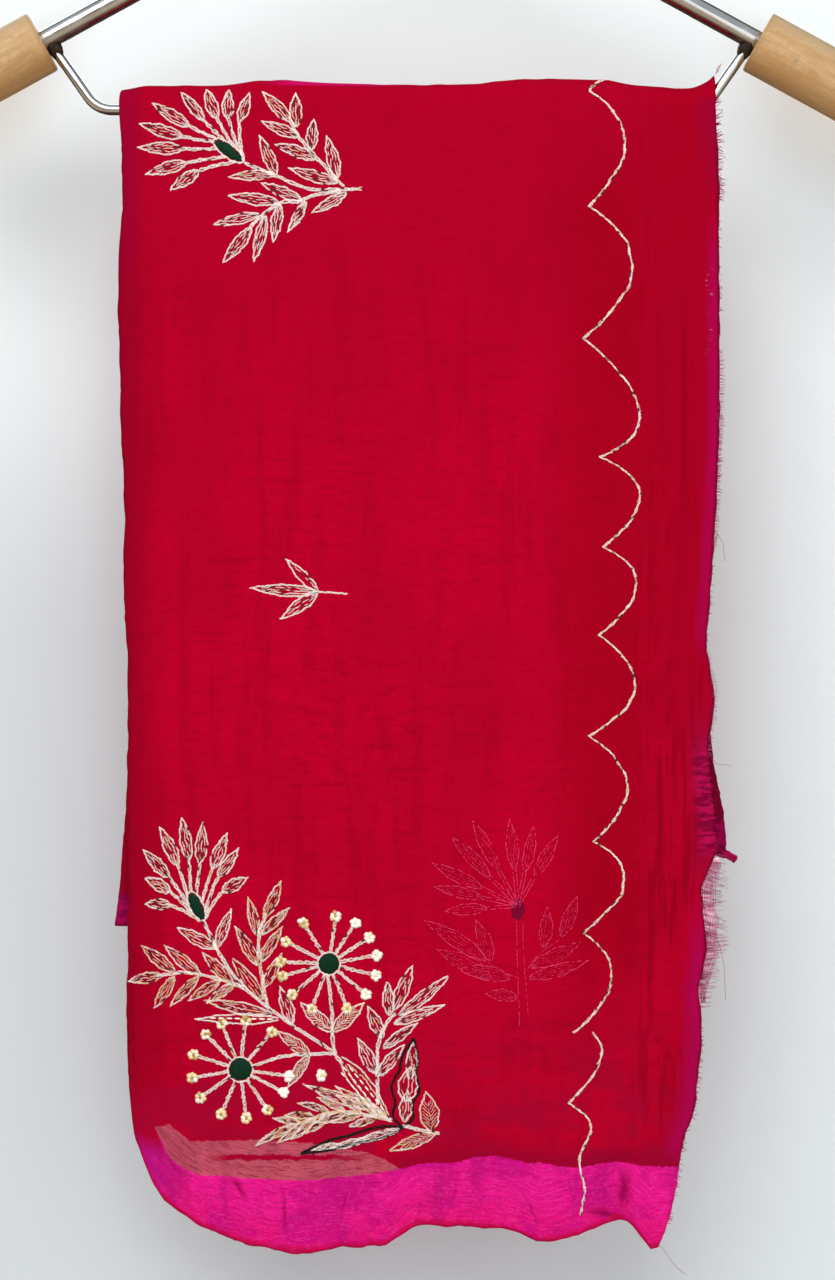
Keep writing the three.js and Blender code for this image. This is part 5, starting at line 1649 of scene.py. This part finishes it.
makeHook()
makeArms()
makeBar()
for sideName, side in (("left", -1), ("right", 1)):
    makeSleeve("sleeve_" + sideName, side, "wooden_sleeve_" + sideName)
for sideName, side in (("left", -1), ("right", 1)):
    makeWeld("weld_" + sideName, side)
print("hanger made")


# metres from here on, except in view
view = {"across": 8.05, "height": -434.6, "away": 1111.3, "lens": 44.84}
room = {"wallBehind": 0.085, "floorHeight": -0.97, "wallTop": "e9f0f1", "wallFoot": "dee5e6",
        "wallLeft": "d2d8db", "sleeveShade": "c6bdb2", "floor": "d8d9da"}
lights = {
    "top": {"at": (-0.35, -1.5, 0.75), "size": (1.6, 1.2), "power": 27.6, "tint": (1.0, 0.99, 0.98)},
    "fill": {"at": (0.9, -1.7, -0.5), "size": (1.4, 1.6), "power": 9.2, "tint": (0.98, 0.99, 1.0)},
    "rear": {"at": (-0.5, 1.7, 0.5), "size": (1.6, 1.4), "power": 20.7, "tint": (1.0, 1.0, 1.0)},
}
lightsAim = (0, 0, -0.42)
sky = {"above": "f4f8fc", "below": [1.0, 0.8, 0.56, 1.0], "level": "6e6a68", "foot": "4e3230",
       "behindFoot": "42201f", "behindTop": "566062", "power": 0.62}


def makePlane(name, size, height, behind=0.0, upright=False):
    turn = (math.pi / 2 if upright else 0, 0, 0)
    bpy.ops.mesh.primitive_plane_add(size=size, location=(0, behind, height), rotation=turn)
    plane = bpy.context.object
    plane.name = name
    return plane


def makeWall():
    wall = makePlane("wall", 3.2, -0.4, room["wallBehind"], True)
    material = newMaterial("painted_wall", 0.75, 0.1)
    across, _, height = partsOf(addNode("NewGeometry", output=0))
    # painted light and shade: lighter towards the top, darker towards the foot and the lower left
    painted = mixed(rangeOf(height, -0.75, -0.15), room["wallFoot"], room["wallTop"])
    left = times(rangeOf(across, 0.02, -0.18), rangeOf(height, -0.27, -0.44))
    # a soft shade under each sleeve
    aside = mathOf("ABSOLUTE", across)
    under = less(mathOf("MULTIPLY_ADD", aside, -math.tan(arms["slope"]), -0.05), height)
    shade = times(rangeOf(aside, 0.15, 0.2), within(under, -30, 20, 60, 58, 0.75))
    paintInto("Base Color", tinted(painted, [(left, room["wallLeft"]), (shade, room["sleeveShade"])]))
    # nothing of it shows from behind
    tree = current["tree"]
    clear = tree.nodes.new("ShaderNodeBsdfTransparent")
    mix = tree.nodes.new("ShaderNodeMixShader")
    backFacing = addNode("NewGeometry", output=6)
    for socket, value in zip(mix.inputs, (backFacing, current["shader"].outputs[0], clear.outputs[0])):
        plug(socket, value)
    plug(tree.nodes["Material Output"].inputs["Surface"], mix.outputs[0])
    wall.data.materials.append(material)
    wall.visible_shadow = wall.visible_diffuse = wall.visible_glossy = wall.visible_transmission = False
    return wall


def makeFloor():
    floor = makePlane("floor", 8, room["floorHeight"])
    floor.data.materials.append(newMaterial("pale_floor", 0.8))
    paintInto("Base Color", room["floor"])
    floor.visible_glossy = False
    return floor


def makeLights():
    for name, light in lights.items():
        data = bpy.data.lights.new(name + "_light", "AREA")
        data.shape = "RECTANGLE"
        data.size, data.size_y = light["size"]
        data.energy = light["power"]
        data.color = light["tint"]
        lamp = bpy.data.objects.new(name + "_light", data)
        bpy.context.scene.collection.objects.link(lamp)
        lamp.location = light["at"]
        lamp.rotation_euler = (Vector(lightsAim) - lamp.location).to_track_quat("-Z", "Y").to_euler()


def makeSky():
    # cool above, warm below, darker level with the camera and behind the wall
    world = bpy.context.scene.world or bpy.data.worlds.new("world")
    bpy.context.scene.world = world
    world.use_nodes = True
    current["tree"] = world.node_tree
    _, ahead, up = partsOf(addNode("TexCoord", output=0))
    shown = mixed(rangeOf(up, -0.1, 0.3), sky["below"], sky["above"])
    level = times(rangeOf(up, -0.2, -0.06), rangeOf(up, 0.16, 0.04, 0.0, 0.8))
    behind = mixed(rangeOf(up, -0.1, 0.1), sky["behindFoot"], sky["behindTop"])
    shown = tinted(shown, [(level, sky["level"]), (rangeOf(up, -0.72, -0.9, 0.0, 0.9), sky["foot"]),
                           (rangeOf(ahead, 0.0, 0.3, 0.0, 0.9), behind)])
    for socket, value in zip(world.node_tree.nodes["Background"].inputs, (shown, sky["power"])):
        plug(socket, value)


def makeCamera():
    data = bpy.data.cameras.new("camera")
    data.lens = view["lens"]
    data.sensor_fit = "VERTICAL"
    data.sensor_height = 24
    camera = bpy.data.objects.new("camera", data)
    bpy.context.scene.collection.objects.link(camera)
    camera.location = (view["across"] * mm, -view["away"] * mm, view["height"] * mm)
    camera.rotation_euler = (math.pi / 2, 0, 0)
    bpy.context.scene.camera = camera


makeWall()
makeFloor()
makeLights()
makeSky()
makeCamera()
bpy.context.scene.view_settings.view_transform = "Standard"
bpy.context.scene.view_settings.look = "None"
print("room, lights and camera made")
